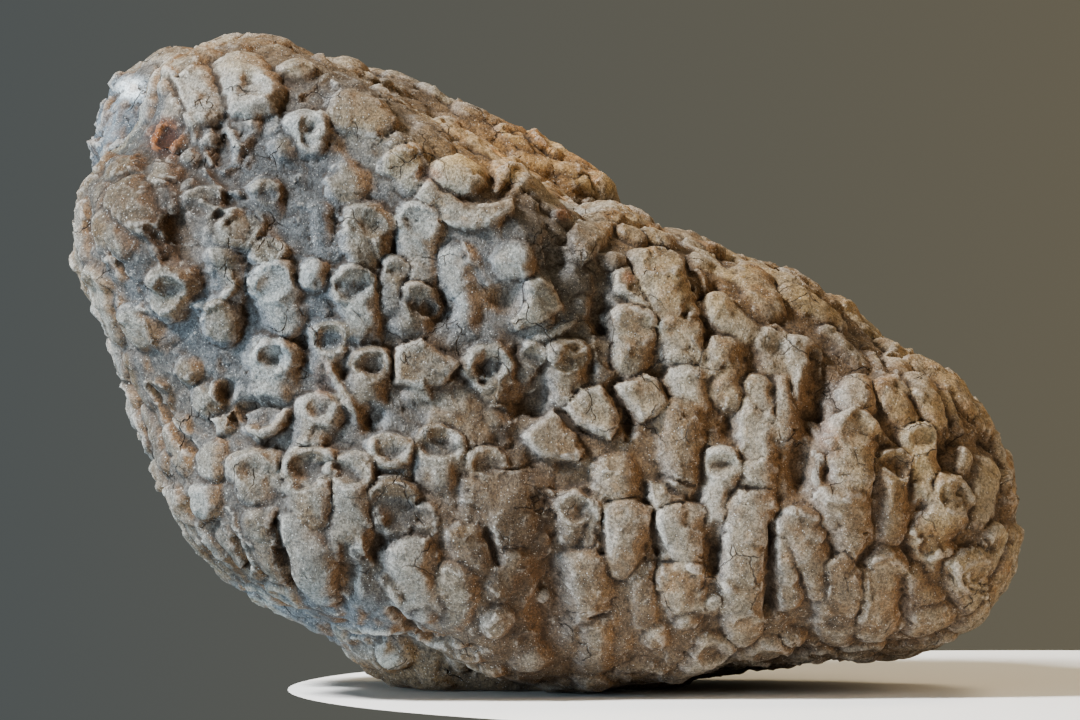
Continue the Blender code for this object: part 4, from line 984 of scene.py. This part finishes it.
def build_stone():
    """The stone's surface in millimetres, with the values that its material reads."""
    points, faces = bare_lobes()
    tree = BVHTree.FromPolygons(points, faces)
    mesh = fused(points, faces, SKIN_SIZE)
    skin = Skin(mesh)
    lay_forms(skin, tree, random.Random(SCATTER_SEED))
    seam = cut_seams(skin)
    draw_details(skin, tree)
    points = skin.points + skin.out * skin.height[:, None]
    move_points(mesh, points)
    points = weather(points, mesh_normals(mesh))
    points[:, 2] = np.maximum(points[:, 2], 0.0)
    move_points(mesh, points)
    paint_values(mesh, skin, seam)
    return mesh


def patch_strength(points, spots):
    """Soft strength of a set of stains and painted light patches at points, seen from in front."""
    total = np.zeros(len(points))
    for x, z, half_x, half_z, strength in spots:
        out = np.hypot((points[:, 0] - x) / half_x, (points[:, 2] - z) / half_z)
        total = np.maximum(total, smooth_step((PATCH_EDGE - out) / PATCH_FADE) * strength)
    return total


def paint_values(mesh, skin, seam):
    """Give the mesh what its material reads: what each point is made of, how sunk it is, its stains and its
    patches of painted light and shade.
    """
    points, normals = mesh_points(mesh), mesh_normals(mesh)
    in_front = smooth_step((FACE_BACK - points[:, 1]) / FACE_FADE)
    values = {
        "coral": smooth_step((skin.height - CORAL_FROM) / CORAL_FADE),
        "fresh": break_share(points),
        "tint": skin.tint,
        "seam": seam,
        "edge": ((points - relax(points, skin.edges, EDGE_ROUNDS)) * normals).sum(axis=1),
        "relief": ((points - relax(points, skin.edges, RELIEF_ROUNDS)) * normals).sum(axis=1),
        "flank": relax(normals, skin.edges, FLANK_ROUNDS)[:, 0] - skin.out[:, 0],
    }
    values.update((name, patch_strength(points, spots)) for name, spots in STAINS_AND_LIGHT.items())
    values.update((name, patch_strength(points, spots) * in_front) for name, spots in FACE_STAINS_AND_SHADE.items())
    for name, column in values.items():
        layer = mesh.attributes.new(name, "FLOAT", "POINT")
        layer.data.foreach_set("value", column.astype(np.float32))


def thinned(mesh):
    """The mesh brought down to TRIANGLES, with most of them kept on the broad face."""
    guide = bpy.data.objects.new("thinned", mesh)
    share = guide.vertex_groups.new(name="share")
    behind = smooth_step((mesh_normals(mesh)[:, 1] + THINNING_FROM) / THINNING_FADE)
    for step in range(THINNING_STEPS + 1):
        index = np.nonzero(np.round(behind * THINNING_STEPS) == step)[0]
        weight = FACE_THINNING + (1.0 - FACE_THINNING) * step / THINNING_STEPS
        share.add(index.tolist(), weight, "REPLACE")
    triangles = sum(len(p.vertices) - 2 for p in mesh.polygons)
    return evaluated(guide, "DECIMATE", ratio=TRIANGLES / triangles, vertex_group=share.name)


def fit_to_node(points):
    """Scale and shift from the plan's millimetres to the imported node's box in metres."""
    low, high = (np.array(corner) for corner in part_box(NODE))
    scale = (high - low) / (points.max(0) - points.min(0))
    return scale, low - points.min(0) * scale


def srgb(code):
    """Linear colour of a six-figure hexadecimal sRGB code."""
    parts = [int(code[i:i + 2], 16) / 255.0 for i in (0, 2, 4)]
    linear = [p / 12.92 if p <= 0.04045 else ((p + 0.055) / 1.055) ** 2.4 for p in parts]
    return (*linear, 1.0)


class Nodes:
    """Short calls for building a material's node tree."""

    def __init__(self, material):
        material.use_nodes = True
        self.tree = material.node_tree
        self.shader = self.tree.nodes["Principled BSDF"]
        self.place = self.tree.nodes.new("ShaderNodeTexCoord").outputs["Object"]

    def new(self, kind, **settings):
        node = self.tree.nodes.new(kind)
        for name, value in settings.items():
            setattr(node, name, value)
        return node

    def feed(self, socket, value):
        """Join a socket to another's value, or set it to a number or to a colour's sRGB code."""
        if isinstance(value, bpy.types.NodeSocket):
            self.tree.links.new(value, socket)
        else:
            socket.default_value = srgb(value) if isinstance(value, str) else value

    def feed_all(self, sockets, values):
        for socket, value in zip(sockets, values):
            self.feed(socket, value)

    def value(self, name):
        return self.new("ShaderNodeAttribute", attribute_name=name).outputs["Fac"]

    def math(self, operation, a, b=0.0, c=0.0):
        node = self.new("ShaderNodeMath", operation=operation)
        self.feed_all(node.inputs, (a, b, c))
        return node.outputs[0]

    def times(self, a, b):
        return self.math("MULTIPLY", a, b)

    def span(self, value, low, high, to_low=0.0, to_high=1.0):
        """A value's soft step from low to high, as a step between two other values."""
        node = self.new("ShaderNodeMapRange", interpolation_type="SMOOTHSTEP")
        self.feed_all(node.inputs, (value, low, high, to_low, to_high))
        return node.outputs[0]

    def noise(self, size, detail=3.0, rough=0.5, seed=0.0, output="Fac"):
        node = self.new("ShaderNodeTexNoise", noise_dimensions="4D")
        self.feed(node.inputs["Vector"], self.place)
        settings = {"W": seed, "Scale": 1.0 / (size * MM), "Detail": detail, "Roughness": rough}
        for name, value in settings.items():
            node.inputs[name].default_value = value
        return node.outputs[output]

    def crack(self, size, width, seed):
        """Thin wandering lines: 1 on a line, 0 away from it."""
        shift = self.new("ShaderNodeVectorMath", operation="MULTIPLY_ADD")
        wander = self.noise(2.5, 2.0, 0.5, seed, "Color")
        self.feed_all(shift.inputs, (wander, (2.6 * MM, 2.6 * MM, 2.6 * MM), self.place))
        cells = self.new("ShaderNodeTexVoronoi", feature="DISTANCE_TO_EDGE")
        self.feed(cells.inputs["Vector"], shift.outputs[0])
        cells.inputs["Scale"].default_value = 1.0 / (size * MM)
        return self.span(cells.outputs["Distance"], width, 0.0)

    def mix(self, share, a, b, blend="MIX"):
        node = self.new("ShaderNodeMix", data_type="RGBA", blend_type=blend)
        self.feed_all((node.inputs[0], node.inputs[6], node.inputs[7]), (share, a, b))
        return node.outputs[2]

    def tinged(self, share, colour, red, green, blue):
        """A colour, by some share of it multiplied by three factors."""
        return self.mix(share, colour, self.mix(1.0, colour, (red, green, blue, 1.0), "MULTIPLY"))


def coral_colour(n, patches, mottle):
    """Calcite of the corallites: mottled grey and brown, darker or paler from one to the next."""
    light = n.mix(n.span(mottle, 0.35, 0.7), "5f5547", "837867")
    brown = n.mix(n.span(mottle, 0.35, 0.7), "4d3b27", "674f32")
    body = n.mix(n.span(patches, 0.32, 0.52), brown, light)
    blotch = n.span(n.noise(4.2, 5.0, 0.62, 10.0), 0.5, 0.66, 0.0, 0.5)
    body = n.mix(blotch, body, n.mix(mottle, "5f4830", "836747"))
    body = n.mix(n.span(n.value("tint"), 0.2, 1.0, 0.0, 0.7), body, "80796d")
    return n.mix(n.span(n.value("tint"), -0.2, -1.0, 0.0, 0.7), body, "54432f")


def matrix_and_shade_colour(n, mottle):
    """Limestone between the corallites: brown, and dark slaty grey towards the left, darker than the
    corallites partly as painted shade in the low ground between them.
    """
    matrix = n.mix(n.span(mottle, 0.3, 0.7), "3f3326", "5c4b37")
    grey = n.mix(n.span(mottle, 0.3, 0.7), "3d3e3d", "585855")
    return n.mix(n.times(n.value("slate_and_cool_light"), 0.8), matrix, grey)


def stains_and_painted_light(n, stone, patches, mottle):
    """The stone with its wide stains and patches of painted light and shade, the fresh break, and its
    flanks: browner right-facing flanks, partly rust-brown stain and partly painted shade, and paler
    left-facing flanks as a painted highlight.
    """
    patchy = n.span(n.noise(11.0, 5.0, 0.65, 6.0), 0.32, 0.6, 0.35, 1.0)
    # warm tinge: partly ochre stain, partly painted warm light
    stone = n.tinged(n.times(n.value("ochre_and_warm_light"), patchy), stone, 1.2, 0.93, 0.48)
    # cool tinge: partly the stone's grey, partly painted cool light
    stone = n.tinged(n.value("slate_and_cool_light"), stone, 0.84, 1.0, 1.2)
    chalk = n.span(n.noise(9.0, 4.0, 0.6, 7.0), 0.45, 0.6)
    broken = n.mix(chalk, "3a4044", "5c6367")
    broken = n.mix(n.value("chalky_and_lit"), broken, "9a9fa0")
    stone = n.mix(n.times(n.value("fresh"), 0.9), stone, broken)

    # right-facing flanks browner: partly a rust-brown stain, partly painted shade
    flank_rust_and_shade = n.times(n.span(n.value("flank"), 0.0, 0.5), n.span(patches, 0.3, 0.55, 0.35, 0.8))
    stone = n.mix(flank_rust_and_shade, stone, n.mix(mottle, "4a3219", "7d5a33"))
    # painted highlight: left-facing flanks paler grey
    pale = n.times(n.span(n.value("flank"), -0.1, -0.6), n.span(patches, 0.3, 0.6, 0.05, 0.3))
    pale = n.times(pale, n.math("MULTIPLY_ADD", n.value("ochre_and_warm_light"), -0.7, 1.0))
    stone = n.mix(pale, stone, "8b8a88")

    # painted shade: broad patches darken the stone
    stone = n.tinged(n.value("broad_shade"), stone, 0.5, 0.45, 0.4)
    # brighter patches: partly chalky stone, partly painted light
    return n.tinged(n.value("chalky_and_lit"), stone, 1.7, 1.66, 1.6)


def shade_and_wear_relief(n, stone, relief, cracks):
    """Painted shade in what is sunk, in creases and along seams, dark cracks, and pale wear with a painted
    highlight along the edges.
    """
    edge = n.value("edge")
    # painted shade: darker brown where the relief is sunk
    stone = n.mix(n.times(n.span(relief, 0.2, -1.5), 0.62), stone, "35291d")
    # painted shade: darker in concave creases
    stone = n.mix(n.times(n.span(edge, -0.02, -0.2), 0.7), stone, "2a2016")
    # painted shade: dark lines along the seams where two forms meet
    stone = n.mix(n.times(n.span(n.value("seam"), 0.2, 0.8), 0.8), stone, "1f1710")
    # partly pale wear, partly painted highlight: lighter along raised edges
    stone = n.mix(n.times(n.span(edge, 0.03, 0.22), 0.5), stone, n.mix(0.45, "b9b1a4", stone))
    return n.mix(n.times(cracks, 0.6), stone, "2c2218")


def stone_material():
    material = bpy.data.materials.new("fossil stone")
    n = Nodes(material)
    relief = n.value("relief")
    patches = n.noise(7.0, 4.0, 0.6, 1.0)
    mottle = n.noise(1.6, 4.0, 0.65, 2.0)
    grains = n.noise(0.34, 3.0, 0.75, 3.0)
    specks = n.noise(0.24, 1.0, 0.5, 4.0)
    cracks = n.times(n.crack(8.5, 0.016, 8.0), n.span(n.noise(9.0, 2.0, 0.5, 9.0), 0.52, 0.6))

    coral = n.span(n.value("coral"), 0.1, 0.8)
    # the darker matrix colour below the coral height is partly painted shade between the corallites
    stone = n.mix(coral, matrix_and_shade_colour(n, mottle), coral_colour(n, patches, mottle))
    # brown where sunk in the hollows: partly stain, partly painted shade
    stone = n.mix(n.times(n.value("umber_and_shade"), n.span(relief, 0.8, -0.8)), stone, "5f4a35")
    stone = stains_and_painted_light(n, stone, patches, mottle)
    stone = shade_and_wear_relief(n, stone, relief, cracks)
    # rust stain, darker where sunk as painted shade
    rust_and_shade = n.mix(n.span(relief, -0.2, 0.3), "2a1204", "69380c")
    stone = n.mix(n.times(n.value("rust_and_shade"), n.span(mottle, 0.3, 0.6, 0.6, 1.0)), stone, rust_and_shade)
    stone = n.mix(1.0, stone, n.span(grains, 0.34, 0.66, 0.5, 1.5), "MULTIPLY")
    # partly white specks of the grain, partly painted glints: kept to raised places
    specks_and_glints = n.times(n.span(specks, 0.66, 0.74, 0.0, 0.5), n.span(relief, -0.9, 0.1))
    stone = n.mix(specks_and_glints, stone, "d5cfc4")

    n.feed(n.shader.inputs["Base Color"], stone)
    n.feed(n.shader.inputs["Roughness"], 0.9)
    n.feed(n.shader.inputs["Specular IOR Level"], 0.25)
    bump = n.new("ShaderNodeBump")
    n.feed(bump.inputs["Distance"], 0.32 * MM)
    n.feed(bump.inputs["Strength"], 1.0)
    height = n.math("MULTIPLY_ADD", n.noise(1.1, 5.0, 0.72, 5.0), 1.5, grains)
    n.feed(bump.inputs["Height"], n.math("MULTIPLY_ADD", cracks, -1.6, height))
    n.feed(n.shader.inputs["Normal"], bump.outputs["Normal"])
    return material


def placed(name, data):
    """A new object in the scene."""
    thing = bpy.data.objects.new(name, data)
    bpy.context.scene.collection.objects.link(thing)
    return thing


def stone_piece():
    """The stone as one piece, and the scale and shift that fit the plan to the node."""
    mesh = thinned(build_stone())
    points = mesh_points(mesh)
    scale, shift = fit_to_node(points)
    move_points(mesh, points * scale + shift)
    mesh.shade_smooth()
    mesh.materials.clear()
    mesh.materials.append(stone_material())
    return placed("coral_stone", mesh), scale, shift


def add_light(name, azimuth, elevation, distance, size, power, colour):
    """A soft square light, aimed at the middle of the stone and unseen by the camera."""
    light = bpy.data.lights.new(name, "AREA")
    light.size, light.energy, light.color = size, power, colour
    lamp = placed(name, light)
    a, e = math.radians(azimuth), math.radians(elevation)
    out = Vector((math.sin(a) * math.cos(e), -math.cos(a) * math.cos(e), math.sin(e)))
    lamp.location = LIGHT_AIM + out * distance
    lamp.rotation_euler = (-out).to_track_quat("-Z", "Y").to_euler()
    lamp.visible_camera = False


def add_backdrop():
    """A plain backdrop, a little cooler at the left and warmer at the right."""
    world = bpy.data.worlds.new("studio")
    world.use_nodes = True
    nodes, links = world.node_tree.nodes, world.node_tree.links
    part = nodes.new("ShaderNodeSeparateXYZ")
    links.new(nodes.new("ShaderNodeTexCoord").outputs["Generated"], part.inputs[0])
    across = nodes.new("ShaderNodeMapRange")
    links.new(part.outputs["X"], across.inputs["Value"])
    across.inputs["From Min"].default_value = -BACKDROP_REACH
    across.inputs["From Max"].default_value = BACKDROP_REACH
    sides = nodes.new("ShaderNodeMix")
    sides.data_type = "RGBA"
    links.new(across.outputs[0], sides.inputs[0])
    for socket, code in zip(sides.inputs[6:8], BACKDROP):
        socket.default_value = srgb(code)
    links.new(sides.outputs[2], nodes["Background"].inputs["Color"])
    nodes["Background"].inputs["Strength"].default_value = BACKDROP_STRENGTH
    bpy.context.scene.world = world


def add_floor():
    circle = bmesh.new()
    bmesh.ops.create_circle(circle, cap_ends=True, segments=128, radius=FLOOR_RADIUS)
    disc = bpy.data.meshes.new("floor")
    circle.to_mesh(disc)
    circle.free()
    paint = bpy.data.materials.new("pale floor")
    paint.use_nodes = True
    shader = paint.node_tree.nodes["Principled BSDF"]
    shader.inputs["Base Color"].default_value = FLOOR_COLOUR
    shader.inputs["Roughness"].default_value = 0.9
    disc.materials.append(paint)
    floor = placed("floor", disc)
    floor.location = FLOOR_PLACE


def add_camera(scale, shift):
    """The camera, level and square on to the plan, from where the plan is seen."""
    camera = bpy.data.cameras.new("camera")
    camera.lens = camera.sensor_width * -SIGHT.y / VIEW_WIDTH
    camera.clip_start, camera.clip_end = CLIP_START, CLIP_END
    eye = placed("camera", camera)
    eye.location = np.array((SIGHT.x, 0.0, SIGHT.z)) * scale + shift + (0.0, SIGHT.y * MM, 0.0)
    eye.rotation_euler = (math.pi / 2.0, 0.0, 0.0)
    bpy.context.scene.camera = eye


stone, plan_scale, plan_shift = stone_piece()
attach(stone, "root")
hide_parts(NODE)
add_backdrop()
for light_name, settings in LIGHTS.items():
    add_light(light_name, *settings)
add_floor()
add_camera(plan_scale, plan_shift)
